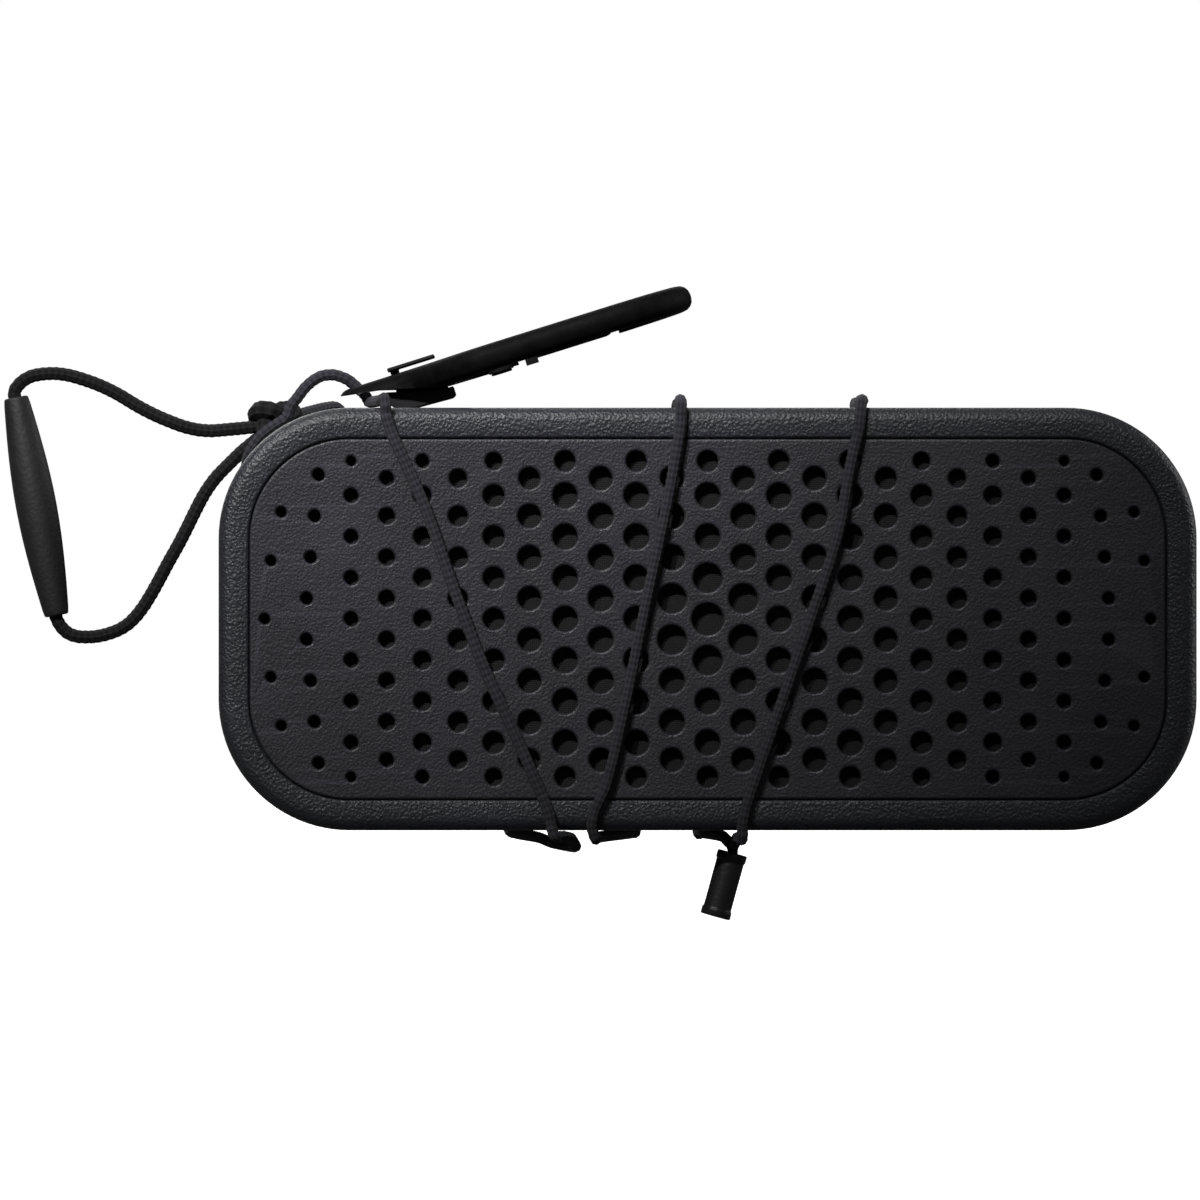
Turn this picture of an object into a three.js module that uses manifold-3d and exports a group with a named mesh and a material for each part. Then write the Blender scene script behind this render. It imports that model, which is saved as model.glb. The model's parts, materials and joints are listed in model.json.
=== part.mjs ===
// Portable shower speaker with an elastic cord wrapped round it, a wrist strap and a carabiner.
// Millimetres. +X is to the speaker's right as seen from the front, +Z is up, and the front faces -Y.
// Everything is laid out about the centre of the speaker's body, and the whole is moved at the end so that
// the frame's origin is the middle of the footprint, at the lowest point.
import * as THREE from "three";
import { mergeVertices } from "three/addons/utils/BufferGeometryUtils.js";
import Module from "manifold-3d";

const wasm = await Module();
wasm.setup();

// ---- driving dimensions -------------------------------------------------------------------------
const HALF_WIDTH = 90;
const HALF_HEIGHT = 38.9;
const CORNER_RADIUS = 24.1;
const FRONT = -25;
const REAR = 25;
const BODY_PLACE = new THREE.Vector3(20.3, -0.9, 55.6);
const CORNER_STEPS = 5;

// Insets from the body's outline.
const BUMPER_OPENING = 5.6;
const GRILLE_INSET = 5.95;
const NECK_INSET = 6.2;
const BAND_INSET = 1.2;
const NECK_POCKET = 9.4;
const BAND_POCKET = 4.8;
const EDGE_ROUND = 2;

// Where the layers sit along Y.
const BAND_FRONT = -11.4;
const BAND_REAR = 13.9;
const SHELL_FRONT = -16.2;
const SHELL_REAR = 22;
const POCKET_REAR = 19.5;
const GRILLE_FRONT = -24.7;
const GRILLE_REAR = -22.5;
const CLOTH_FRONT = -22.1;
const CLOTH_REAR = -21.6;
const BAFFLE_FRONT = -21;
const BAFFLE_REAR = -18;
const SEAM_GAP = 0.3;

// Grille holes stand in columns, and every second column is half a row lower.
const COLUMN_PITCH = 6.555;
const ROW_PITCH = 7.575;
const OUTER_ROW_PITCH = 6.33;
const LAST_STRAIGHT_COLUMN = 10;
const HOLE_SIDES = 6;
const FULL_ROWS_HEIGHT = 22.7;
const CENTRE_HOLE = 5.8;
const NEXT_HOLE = 5.3;
const COMMON_HOLE = 4.55;
const SHRINK_FROM_COLUMN = 4;
const SHRINK_PER_COLUMN = 0.33;
const END_COLUMN_HOLE = 2.2;
const LAST_HOLE = 1.9;
const LAST_HOLES = [
  [81.45, 0],
  [80.3, 10.7],
  [80.3, -10.7],
  [78.4, 19.65],
  [78.4, -19.65],
];

// Driver and radiator.
const DRIVER_X = 50;
const DRIVER_OPENING = 22;
const RADIATOR_OPENING = 18.4;
const TURNED_STEPS = 18;

// Buttons, on top of the middle band.
const BUTTON_NAMES = ["power", "volume_down", "play", "volume_up"];
const BUTTON_FIRST_X = 34.5;
const BUTTON_PITCH = 9;
const CONTROLS_Y = 1;
const LED_X = 18;

// Port door, on the right-hand side.
const DOOR_AXIS_X = 87.3;
const DOOR_AXIS_Y = 8.4;
const DOOR_HALF_LENGTH = 13;

// Strap post, in a notch at the upper left corner.
const POST_X = -80.7;
const POST_Z = 29.6;
const POST_RADIUS = 1.5;
const NOTCH_RADIUS = 11.5;
const NOTCH_HALF_DEPTH = 9;

// Cords.
const ELASTIC_RADIUS = 1.1;
const WRIST_RADIUS = 1.2;
const CORD_SIDES = 5;
const CORD_STEP = 3.6;
const CORD_STANDOFF = 1.6;

const GRIP_TOP = new THREE.Vector3(-128.4, 0, 41.2);
const GRIP_BOTTOM = new THREE.Vector3(-120.8, 0, 0.6);

const STOPPER_MOUTH = new THREE.Vector3(4.7, -14, -43.2);
const STOPPER_TILT = THREE.MathUtils.degToRad(15.4);
const STOPPER_LENGTH = 12.2;
const STOPPER_RADIUS = 2.7;

const CARABINER_PLACE = new THREE.Vector3(-66, -6, 41.7);
const CARABINER_TILT = THREE.MathUtils.degToRad(17.4);
const CARABINER_TOP = 0.95;
const CARABINER_UNDERSIDE = -3.9;
const ROUND_END_U = 49.6;
const BOW_OUTER = 16;
const BOW_INNER = 11;
const GATE_PIVOT_U = 27.9;
const GATE_PIVOT_V = 12.6;
const FORK_END_U = 31.4;

const SCREW_PLACES = [
  [-74, 24],
  [74, 24],
  [-74, -24],
  [74, -24],
];

// ---- materials ----------------------------------------------------------------------------------
function finish(color, roughness, metalness = 0) {
  return new THREE.MeshStandardMaterial({ color, roughness, metalness });
}
const BUMPER_RUBBER = finish(0x35363b, 0.78);
const GRILLE_RUBBER = finish(0x303138, 0.82);
const SHELL_PLASTIC = finish(0x26272b, 0.6);
const SOFT_RUBBER = finish(0x1c1c1f, 0.85);
const MESH_CLOTH = finish(0x141416, 0.95);
const INNER_PLASTIC = finish(0x202124, 0.55);
const CONE_PAPER = finish(0x2b2b2d, 0.8);
const STEEL = finish(0x9a9ca0, 0.35, 1);
const FERRITE = finish(0x3a3b3f, 0.6, 0.4);
const COPPER = finish(0xa8623a, 0.4, 1);
const BOARD = finish(0x14462c, 0.5);
const CELL_WRAP = finish(0x2b5f9e, 0.35);
const CLEAR_LENS = finish(0xdfe8ee, 0.2);
const CORD_BRAID = finish(0x212226, 0.9);
const GRIP_RUBBER = finish(0x2a2a2a, 0.8);
const CARABINER_COAT = finish(0x18181a, 0.45);

// ---- shape helpers ------------------------------------------------------------------------------
function solid(geometry) {
  const bare = geometry.index ? geometry.toNonIndexed() : geometry.clone();
  bare.deleteAttribute("normal");
  bare.deleteAttribute("uv");
  const merged = mergeVertices(bare, 1e-4);
  return new wasm.Manifold(
    new wasm.Mesh({
      numProp: 3,
      vertProperties: merged.attributes.position.array,
      triVerts: new Uint32Array(merged.index.array),
    }),
  );
}

function geometryOf(body) {
  const mesh = body.getMesh();
  const geometry = new THREE.BufferGeometry();
  geometry.setAttribute("position", new THREE.BufferAttribute(mesh.vertProperties, 3));
  geometry.setIndex(new THREE.BufferAttribute(mesh.triVerts, 1));
  geometry.computeVertexNormals();
  return geometry;
}

function join(...geometries) {
  return geometryOf(geometries.map(solid).reduce((whole, next) => whole.add(next)));
}

function cut(geometry, ...tools) {
  return geometryOf(tools.map(solid).reduce((whole, tool) => whole.subtract(tool), solid(geometry)));
}

function roundedRectangle(halfX, halfY, radius, x = 0, y = 0) {
  const shape = new THREE.Shape();
  shape.absarc(x + halfX - radius, y - halfY + radius, radius, -Math.PI / 2, 0);
  shape.absarc(x + halfX - radius, y + halfY - radius, radius, 0, Math.PI / 2);
  shape.absarc(x - halfX + radius, y + halfY - radius, radius, Math.PI / 2, Math.PI);
  shape.absarc(x - halfX + radius, y - halfY + radius, radius, Math.PI, 1.5 * Math.PI);
  shape.closePath();
  return shape;
}

function outline(inset) {
  return roundedRectangle(HALF_WIDTH - inset, HALF_HEIGHT - inset, CORNER_RADIUS - inset);
}

function polygon(points) {
  return new THREE.Shape(points.map(([x, y]) => new THREE.Vector2(x, y)));
}

function circle(radius, steps, x = 0, y = 0) {
  const shape = new THREE.Shape();
  for (let i = 0; i < steps; i++) {
    const angle = (2 * Math.PI * i) / steps;
    const place = [x + radius * Math.cos(angle), y + radius * Math.sin(angle)];
    if (i === 0) shape.moveTo(...place);
    else shape.lineTo(...place);
  }
  shape.closePath();
  return shape;
}

// A flat shape given in X and Y, raised from z0 to z1.
function slab(shape, z0, z1, curveSegments = CORNER_STEPS) {
  const options = { depth: z1 - z0, bevelEnabled: false, curveSegments };
  return new THREE.ExtrudeGeometry(shape, options).translate(0, 0, z0);
}

// A flat shape given in X and Z, spread from y0 at its front to y1 at its rear.
function plate(shape, y0, y1, curveSegments = CORNER_STEPS) {
  return slab(shape, -y1, -y0, curveSegments).rotateX(Math.PI / 2);
}

// The same with its two outer edges rounded.
function roundedPlate(shape, y0, y1, round, curveSegments = CORNER_STEPS) {
  const options = {
    depth: y1 - y0 - 2 * round,
    bevelThickness: round,
    bevelSize: round,
    bevelOffset: -round,
    bevelSegments: 2,
    curveSegments,
  };
  const raised = new THREE.ExtrudeGeometry(shape, options).translate(0, 0, round - y1);
  return raised.rotateX(Math.PI / 2);
}

function block(x0, x1, y0, y1, z0, z1) {
  const box = new THREE.BoxGeometry(x1 - x0, y1 - y0, z1 - z0);
  return box.translate((x0 + x1) / 2, (y0 + y1) / 2, (z0 + z1) / 2);
}

// A solid turned about the Y axis from a profile of [radius, y] points.
function turned(profile, steps = TURNED_STEPS) {
  const points = profile.map(([r, y]) => new THREE.Vector2(r, y));
  if (points[0].x > 0) points.push(points[0].clone());
  const facesOut = THREE.ShapeUtils.area(points) > 0;
  return new THREE.LatheGeometry(facesOut ? points : points.reverse(), steps);
}

// A cylinder along Y between y0 and y1, at (x, z).
function pinY(radius, x, z, y0, y1, steps = 12) {
  const pin = new THREE.CylinderGeometry(radius, radius, y1 - y0, steps);
  return pin.translate(x, (y0 + y1) / 2, z);
}

// A cylinder along Z between z0 and z1, at (x, y).
function pinZ(radius, x, y, z0, z1, steps = 12) {
  const pin = new THREE.CylinderGeometry(radius, radius, z1 - z0, steps);
  return pin.rotateX(Math.PI / 2).translate(x, y, (z0 + z1) / 2);
}

// A cylinder along X between x0 and x1, at (y, z).
function pinX(radius, y, z, x0, x1, steps = 12) {
  const pin = new THREE.CylinderGeometry(radius, radius, x1 - x0, steps);
  return pin.rotateZ(Math.PI / 2).translate((x0 + x1) / 2, y, z);
}

// A half roll between two radii, bulging towards the front: the profile of a speaker surround.
function halfRoll(innerRadius, outerRadius, thickness, y) {
  const middle = (innerRadius + outerRadius) / 2;
  const reach = (outerRadius - innerRadius) / 2;
  const steps = 4;
  const arc = (radius, from, to) =>
    Array.from({ length: steps + 1 }, (_, i) => {
      const angle = from + ((to - from) * i) / steps;
      return [middle + radius * Math.cos(angle), y - radius * Math.sin(angle)];
    });
  return turned([...arc(reach, 0, Math.PI), ...arc(reach - thickness, Math.PI, 0)]);
}

function cord(points, radius, step = CORD_STEP) {
  const path = new THREE.CatmullRomCurve3(points);
  path.arcLengthDivisions = 2000;
  const steps = Math.round(path.getLength() / step);
  const options = { steps, extrudePath: path, bevelEnabled: false };
  return new THREE.ExtrudeGeometry(circle(radius, CORD_SIDES), options);
}

function piece(parent, name, geometry, material) {
  const mesh = new THREE.Mesh(geometry, material);
  mesh.name = name;
  parent.add(mesh);
  return mesh;
}

function group(parent, x = 0, y = 0, z = 0) {
  const made = new THREE.Group();
  made.position.set(x, y, z);
  parent.add(made);
  return made;
}

// ---- body ---------------------------------------------------------------------------------------
function bumperRing(y0, y1) {
  const opening = plate(outline(BUMPER_OPENING), y0 - 1, y1 + 1);
  return cut(roundedPlate(outline(0), y0, y1, EDGE_ROUND), opening);
}

function holeDiameter(column, outermost) {
  const away = Math.abs(column);
  const inner = COMMON_HOLE - SHRINK_PER_COLUMN * Math.max(0, away - SHRINK_FROM_COLUMN);
  if (!outermost) return inner;
  return inner - (away % 2 === 0 ? 0.8 : 0.35);
}

// Holes grow from small dots at the ends to a large one at the centre.
function grilleHoles() {
  const holes = [];
  for (let column = -LAST_STRAIGHT_COLUMN; column <= LAST_STRAIGHT_COLUMN; column++) {
    const firstRow = column % 2 === 0 ? -4 : -3.5;
    for (let row = firstRow; row <= 4; row++) {
      const reach = Math.abs(row) * ROW_PITCH;
      const straight = Math.min(reach, FULL_ROWS_HEIGHT);
      const z = Math.sign(row) * (straight + ((reach - straight) * OUTER_ROW_PITCH) / ROW_PITCH);
      const fromCentre = Math.hypot(column * COLUMN_PITCH, z);
      let diameter = holeDiameter(column, Math.abs(row) > 3);
      if (fromCentre < 1.2 * ROW_PITCH) diameter = NEXT_HOLE;
      if (fromCentre < 1) diameter = CENTRE_HOLE;
      holes.push({ x: column * COLUMN_PITCH, z, diameter });
    }
  }
  for (const side of [-1, 1]) {
    for (let row = -3.5; row <= 3.5; row++) {
      const x = side * (74.1 - 0.73 * Math.abs(row));
      holes.push({ x, z: row * ROW_PITCH, diameter: END_COLUMN_HOLE });
    }
    for (const [x, z] of LAST_HOLES) holes.push({ x: side * x, z, diameter: LAST_HOLE });
  }
  return holes;
}

function addFront(parent) {
  piece(parent, "front_bezel", bumperRing(FRONT, BAND_FRONT - SEAM_GAP), BUMPER_RUBBER);

  const grille = outline(GRILLE_INSET);
  for (const { x, z, diameter } of grilleHoles()) {
    grille.holes.push(circle(diameter / 2, HOLE_SIDES, x, z));
  }
  piece(parent, "front_grille", plate(grille, GRILLE_FRONT, GRILLE_REAR), GRILLE_RUBBER);

  piece(parent, "acoustic_mesh", plate(outline(7.5), CLOTH_FRONT, CLOTH_REAR), MESH_CLOTH);

  const baffle = outline(NECK_INSET);
  baffle.holes.push(circle(DRIVER_OPENING, TURNED_STEPS, -DRIVER_X, 0));
  baffle.holes.push(circle(DRIVER_OPENING, TURNED_STEPS, DRIVER_X, 0));
  baffle.holes.push(circle(RADIATOR_OPENING, TURNED_STEPS, 0, 0));
  for (const [x, z] of SCREW_PLACES) baffle.holes.push(circle(1.45, 10, x, z));
  const sinks = SCREW_PLACES.map(([x, z]) => pinY(2.8, x, z, BAFFLE_FRONT - 1, -19.1));
  piece(parent, "front_baffle", cut(plate(baffle, BAFFLE_FRONT, BAFFLE_REAR), ...sinks), INNER_PLASTIC);

  const seal = outline(6.4);
  seal.holes.push(outline(9));
  piece(parent, "main_gasket", plate(seal, BAFFLE_REAR + SEAM_GAP, SHELL_FRONT - SEAM_GAP), SOFT_RUBBER);
}

function addCaseScrews(parent) {
  const profile = [[0, -20.9], [2.4, -20.9], [2.4, -19.4], [1.1, -19.4], [1.1, -10], [0, -10]];
  SCREW_PLACES.forEach(([x, z], i) => {
    const place = group(parent, x, 0, z);
    piece(place, `case_screw_${i + 1}`, turned(profile, 12), STEEL);
  });
}

function buttonX(i) {
  return BUTTON_FIRST_X + i * BUTTON_PITCH;
}

const BOARD_STAKES = [
  [-54, 21],
  [54, 21],
  [-54, -21],
  [54, -21],
];

function addRearShell(parent) {
  const outside = join(
    plate(outline(NECK_INSET), SHELL_FRONT, SHELL_REAR),
    plate(outline(BAND_INSET), BAND_FRONT, BAND_REAR),
  );
  const cornerBlock = pinY(NOTCH_RADIUS + 2.3, POST_X, POST_Z, SHELL_FRONT - 2, SHELL_REAR, 24);
  const pocket = cut(
    join(
      plate(outline(NECK_POCKET), SHELL_FRONT - 1, POCKET_REAR),
      plate(outline(BAND_POCKET), BAND_FRONT + 2.8, BAND_REAR - 2.9),
    ),
    cornerBlock,
  );
  const bosses = SCREW_PLACES.map(([x, z]) => pinY(3.2, x, z, SHELL_FRONT, -8));
  const stakes = BOARD_STAKES.flatMap(([x, z]) => [
    pinY(2.6, x, z, 16.6, POCKET_REAR + 1),
    pinY(1.2, x, z, 13.9, 17),
  ]);
  const portPosts = [-8, 8].map((z) => pinX(1.6, 8.8, z, 77.4, 86));

  const screwBores = SCREW_PLACES.map(([x, z]) => pinY(1.5, x, z, SHELL_FRONT - 1, -9.6, 10));
  const notch = pinY(NOTCH_RADIUS, POST_X, POST_Z, -NOTCH_HALF_DEPTH, NOTCH_HALF_DEPTH, 24);
  const postBore = pinY(POST_RADIUS + 0.25, POST_X, POST_Z, -10.9, 10.9, 14);
  const doorEnds = DOOR_HALF_LENGTH + 0.4;
  const doorRecess = block(86.9, 92, -6.5, 10.2, -doorEnds, doorEnds);
  const knuckleGroove = pinZ(1.6, DOOR_AXIS_X, DOOR_AXIS_Y, -doorEnds, doorEnds, 14);
  const pinBore = pinZ(0.95, DOOR_AXIS_X, DOOR_AXIS_Y, -14.6, 14.6, 10);
  const portWindow = block(84, 90, -2.5, 6.5, -10.8, 10.8);
  const buttonSlots = BUTTON_NAMES.map((_, i) =>
    slab(roundedRectangle(3.6, 4.8, 1.4, buttonX(i), CONTROLS_Y), 33, 40, 2),
  );
  const ledBore = pinZ(1.6, LED_X, CONTROLS_Y, 33, 40);

  const shell = cut(
    join(cut(outside, pocket), ...bosses, ...stakes, ...portPosts),
    ...screwBores,
    notch,
    postBore,
    doorRecess,
    knuckleGroove,
    pinBore,
    portWindow,
    ...buttonSlots,
    ledBore,
  );
  piece(parent, "rear_shell", shell, SHELL_PLASTIC);
  piece(parent, "rear_bumper", bumperRing(BAND_REAR + SEAM_GAP, REAR), BUMPER_RUBBER);

  for (const [side, x] of [["left", -70], ["right", 70]]) {
    const foot = roundedPlate(roundedRectangle(7, 20, 3), SHELL_REAR + SEAM_GAP, 29.6, 0.7, 2);
    piece(group(parent, x), `rear_foot_${side}`, foot, SOFT_RUBBER);
  }
}

// ---- drivers and radiator -----------------------------------------------------------------------
function addDriver(parent, side, x) {
  const place = group(parent, x);

  const basket = turned([
    [22.2, -17.7], [25.5, -17.7], [25.5, -15.9], [23.4, -15.9], [15.2, -3.6],
    [8.2, -3.6], [8.2, -5], [14.2, -5], [22.2, -16.8],
  ]);
  const windows = [Math.PI / 4, (3 * Math.PI) / 4].map((turn) =>
    new THREE.BoxGeometry(60, 5.5, 9).translate(0, -10.2, 0).rotateY(turn),
  );
  piece(place, `${side}_driver_frame`, cut(basket, ...windows), INNER_PLASTIC);

  const motor = [[0, -3.2], [6, -3.2], [6, 6], [7.7, 6], [7.7, -3.2], [15, -3.2], [15, 8.5], [0, 8.5]];
  piece(place, `${side}_magnet`, turned(motor), FERRITE);

  const coil = [[6.4, -11.2], [7.1, -11.2], [7.1, 2.5], [6.4, 2.5]];
  piece(place, `${side}_voice_coil`, turned(coil, 16), COPPER);

  const cone = [[18, -17.2], [18, -16.6], [7.5, -10.7], [7.5, -11.4]];
  piece(place, `${side}_cone`, turned(cone), CONE_PAPER);

  const cap = [[0, -14.4], [3.8, -13.9], [7.2, -12.1], [7.2, -11.6], [3.6, -13.3], [0, -13.8]];
  piece(place, `${side}_dust_cap`, turned(cap, 16), CONE_PAPER);

  piece(place, `${side}_surround`, halfRoll(18.4, 21.6, 0.5, -17.2), SOFT_RUBBER);
}

function addRadiator(parent) {
  const ring = [[18.6, -17.7], [21.5, -17.7], [21.5, -15.5], [18.6, -15.5]];
  piece(parent, "radiator_frame", turned(ring), INNER_PLASTIC);
  piece(parent, "radiator_surround", halfRoll(13.4, 18.1, 0.5, -17.1), SOFT_RUBBER);
  const weight = [[0, -17.6], [13, -17.6], [13, -16.2], [6, -16.2], [6, -13.8], [0, -13.8]];
  piece(parent, "radiator_plate", turned(weight), STEEL);
}

// ---- electronics --------------------------------------------------------------------------------
function addBattery(parent) {
  const cell = [[0, -32.5], [9, -32.5], [9, 31.8], [3, 31.8], [3, 32.8], [0, 32.8]];
  for (const [where, z] of [["upper", 9.6], ["lower", -9.6]]) {
    const place = group(parent, 0, 2.5, z);
    piece(place, `battery_cell_${where}`, turned(cell, 20).rotateZ(-Math.PI / 2), CELL_WRAP);
  }
  const cradle = join(
    block(-28, 28, 11.9, 13.1, -20.6, 20.6),
    block(-28, 28, 2, 13.1, 19.3, 20.6),
    block(-28, 28, 2, 13.1, -20.6, -19.3),
  );
  piece(parent, "battery_bracket", cradle, INNER_PLASTIC);
}

function addBoards(parent) {
  const board = roundedRectangle(58, 25, 2);
  for (const [x, z] of BOARD_STAKES) board.holes.push(circle(1.6, 10, x, z));
  piece(parent, "main_board", plate(board, 14.7, 16.3, 3), BOARD);
  piece(parent, "bluetooth_module", block(-29, -11, 16.6, 18.4, 2, 14), STEEL);

  piece(parent, "port_board", block(75.5, 77.1, -6, 10.5, -13, 13), BOARD);
  const usb = cut(block(77.4, 85.6, 0.4, 3.6, 1, 10), block(79, 87, 0.9, 3.1, 1.5, 9.5));
  piece(parent, "usb_socket", usb, STEEL);
  const aux = cut(pinX(3.2, 2, -6, 77.4, 85.6, 16), pinX(1.8, 2, -6, 79, 87));
  piece(parent, "aux_socket", aux, INNER_PLASTIC);
}

function addControls(parent) {
  piece(parent, "button_board", block(13, 67, -6.5, 8.5, 28.7, 29.9), BOARD);
  BUTTON_NAMES.forEach((name, i) => {
    const place = group(parent, buttonX(i), CONTROLS_Y);
    const button = join(
      slab(roundedRectangle(3.3, 4.5, 1.2), 33, 38.3, 2),
      slab(roundedRectangle(4, 5.3, 1.2), 32.9, 33.8, 2),
    );
    piece(place, `${name}_button`, button, SOFT_RUBBER);
    piece(place, `${name}_switch`, block(-2.5, 2.5, -2.5, 2.5, 30.2, 32.1), INNER_PLASTIC);
  });
  const lens = turned([[0, 30.2], [2.2, 30.2], [2.2, 33.8], [1.3, 33.8], [1.3, 38], [0, 38]], 14);
  piece(group(parent, LED_X, CONTROLS_Y), "status_led", lens.rotateX(Math.PI / 2), CLEAR_LENS);
}

function addPortDoor(parent) {
  const hinge = group(parent, DOOR_AXIS_X, DOOR_AXIS_Y);
  const door = cut(
    join(
      block(0, 1.4, -14.5, 0, -DOOR_HALF_LENGTH, DOOR_HALF_LENGTH),
      block(-1.3, 0.2, -10.4, -2.4, -10.2, 10.2),
      pinZ(1.3, 0, 0, -DOOR_HALF_LENGTH, DOOR_HALF_LENGTH, 16),
    ),
    pinZ(0.9, 0, 0, -20, 20, 12),
  );
  piece(hinge, "port_door", door, SOFT_RUBBER);
  piece(hinge, "port_door_pin", pinZ(0.6, 0, 0, -14.3, 14.3, 10), STEEL);
}

// ---- wrist strap --------------------------------------------------------------------------------
function at(x, z, y = 0) {
  return new THREE.Vector3(x, y, z);
}

function wristPath() {
  const alongGrip = (t) => new THREE.Vector3().lerpVectors(GRIP_TOP, GRIP_BOTTOM, t);
  const upper = [at(-85.7, 35.5), at(-94.4, 35.1), at(-103.2, 38.2), at(-112.1, 43.1), at(-120.9, 45.6)];
  const lower = [at(-115.6, -3.4), at(-107.7, -1.1), at(-98.8, 12.7), at(-92.2, 25), at(-86.2, 31.3)];
  const inGrip = [-0.03, 0.05, 0.35, 0.65, 0.95, 1.03].map(alongGrip);
  return [...upper, at(-126.6, 44.6), ...inGrip, at(-119.2, -2.4), ...lower];
}

function addWristStrap(parent) {
  const post = pinY(POST_RADIUS, POST_X, POST_Z, -10.6, 10.6, 14);
  piece(parent, "lanyard_post", post, STEEL);

  const ring = Array.from({ length: 6 }, (_, i) => {
    const angle = (2 * Math.PI * i) / 6;
    return [2.9 + 0.9 * Math.cos(angle), 0.9 * Math.sin(angle)];
  });
  const knot = join(
    new THREE.SphereGeometry(1, 12, 7).scale(5, 4.2, 4.3).translate(-80.2, 0, 36.2),
    turned(ring, 14).translate(POST_X, 0, POST_Z),
  );
  piece(parent, "wrist_knot", knot, CORD_BRAID);
  piece(parent, "wrist_cord", cord(wristPath(), WRIST_RADIUS), CORD_BRAID);

  const length = GRIP_TOP.distanceTo(GRIP_BOTTOM);
  const spindle = [[0, 0], [2.3, 0], [3.3, 0.24], [3.8, 0.5], [3.3, 0.76], [2.3, 1], [0, 1]];
  const body = turned(spindle.map(([r, share]) => [r, -share * length]), 14);
  const lean = Math.atan2(GRIP_BOTTOM.x - GRIP_TOP.x, GRIP_TOP.z - GRIP_BOTTOM.z);
  body.rotateX(Math.PI / 2).rotateY(-lean).translate(GRIP_TOP.x, 0, GRIP_TOP.z);
  const bore = cord(wristPath(), WRIST_RADIUS + 0.5);
  piece(parent, "wrist_grip", cut(body, bore), GRIP_RUBBER);
}

// ---- elastic cord -------------------------------------------------------------------------------
// Three points that carry the cord round an edge of the body, from the face to the top or bottom.
function overEdge(x, faceSide, upDown, lean = 0) {
  const face = faceSide * (REAR + CORD_STANDOFF);
  const level = upDown * (HALF_HEIGHT + CORD_STANDOFF + 0.3);
  return [
    at(x, upDown * (HALF_HEIGHT - 2.3), face),
    at(x + 0.25 * lean, upDown * (HALF_HEIGHT + 1.3), faceSide * (REAR + 1.3)),
    at(x + lean, level, faceSide * (REAR - 2.2)),
  ];
}

function elasticPath() {
  const front = FRONT - CORD_STANDOFF;
  const rear = REAR + CORD_STANDOFF;
  const fromStopper = [at(4.9, -41.8, -15.2), at(5.3, -41.2, -19.5)];
  const thirdPass = [at(9.8, -26.5, front), at(17, -5.5, front), at(24, 15.8, front), at(26, 27, front)];
  const secondPass = [
    at(-18.8, -31.1, front), at(-15.4, -17.1, front), at(-11.3, 2.9, front), at(-7.1, 22.8, front),
  ];
  const firstPass = [
    at(-34.7, -22.8, front), at(-40.9, -9.4, front), at(-46.2, 4.3, front), at(-52, 20.6, front),
  ];
  const overToSecond = [at(24, 30, rear), at(8, 1, rear + 0.2), at(-8.4, -28.8, rear + 1.5)];
  const overToFirst = [at(-8.4, 30, rear), at(-20.5, 0, rear), at(-32.6, -30, rear)];
  const throughEye = [
    at(-61.2, 40.8, -16.5), at(-62, 40.5, -10.8), at(-62.9, 41.1, -7.6),
    at(-64.3, 42.4, -6), at(-66.6, 44.4, -6.1),
  ];
  const arch = [at(-70.7, 45.2, -6.6), at(-74.6, 42.8, -7.2), at(-77.2, 39, -7.5)];
  const roundPost = [
    at(-81.2, 35.4, -7.3), at(-84.9, 30.6, -6), at(-85.2, 25.2), at(-84.9, 30.6, 6), at(-81.4, 35.8, 8),
  ];
  const overCorner = [at(-77.4, 38.4, 12.5), at(-73.2, 39.9, 18.5), at(-69.8, 40.4, 23.2), at(-68.4, 39, 26)];
  const behind = [
    at(-66.8, 36.4, rear + 0.1), at(-60.5, 29.3, rear), at(-42, 9, 24.4),
    at(-24.9, -10.4, 24), at(-8.4, -28.8, 25.3),
  ];
  const toStopper = [at(1.2, -40.9, 6), at(3.4, -41.2, -7), at(4.5, -41.8, -12.7)];
  return [
    ...fromStopper,
    ...overEdge(6.6, -1, -1, -0.8).reverse(),
    ...thirdPass,
    ...overEdge(28, -1, 1, 0.5),
    ...overEdge(28, 1, 1, 0.5).reverse(),
    ...overToSecond,
    ...overEdge(-12.8, 1, -1, -0.6),
    at(-15, -40.4, 11),
    at(-18.6, -40.4, -11),
    ...overEdge(-21.2, -1, -1, 1).reverse(),
    ...secondPass,
    ...overEdge(-4.9, -1, 1),
    ...overEdge(-5.4, 1, 1, 0.3).reverse(),
    ...overToFirst,
    ...overEdge(-37, 1, -1, 0.6),
    at(-30.6, -41.3, 2),
    at(-24.4, -42.1, -13.5),
    ...overEdge(-28.9, -1, -1, 3.2).reverse(),
    ...firstPass,
    ...overEdge(-58.9, -1, 1, -1.4),
    ...throughEye,
    ...arch,
    ...roundPost,
    ...overCorner,
    ...behind,
    ...overEdge(-1.6, 1, -1, 1),
    ...toStopper,
  ];
}

function addElastic(parent) {
  piece(parent, "elastic_cord", cord(elasticPath(), ELASTIC_RADIUS), CORD_BRAID);

  const place = group(parent, ...STOPPER_MOUTH.toArray());
  place.rotation.y = STOPPER_TILT;
  const r = STOPPER_RADIUS;
  const barrel = turned(
    [
      [0, -1.6], [r - 0.6, -1.6], [r - 0.6, 0], [r - 0.3, 0], [r, -0.4],
      [r, 0.4 - STOPPER_LENGTH], [r - 0.4, -STOPPER_LENGTH], [0, -STOPPER_LENGTH],
    ],
    16,
  );
  piece(place, "cord_stopper", barrel.rotateX(Math.PI / 2), CARABINER_COAT);
}

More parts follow.
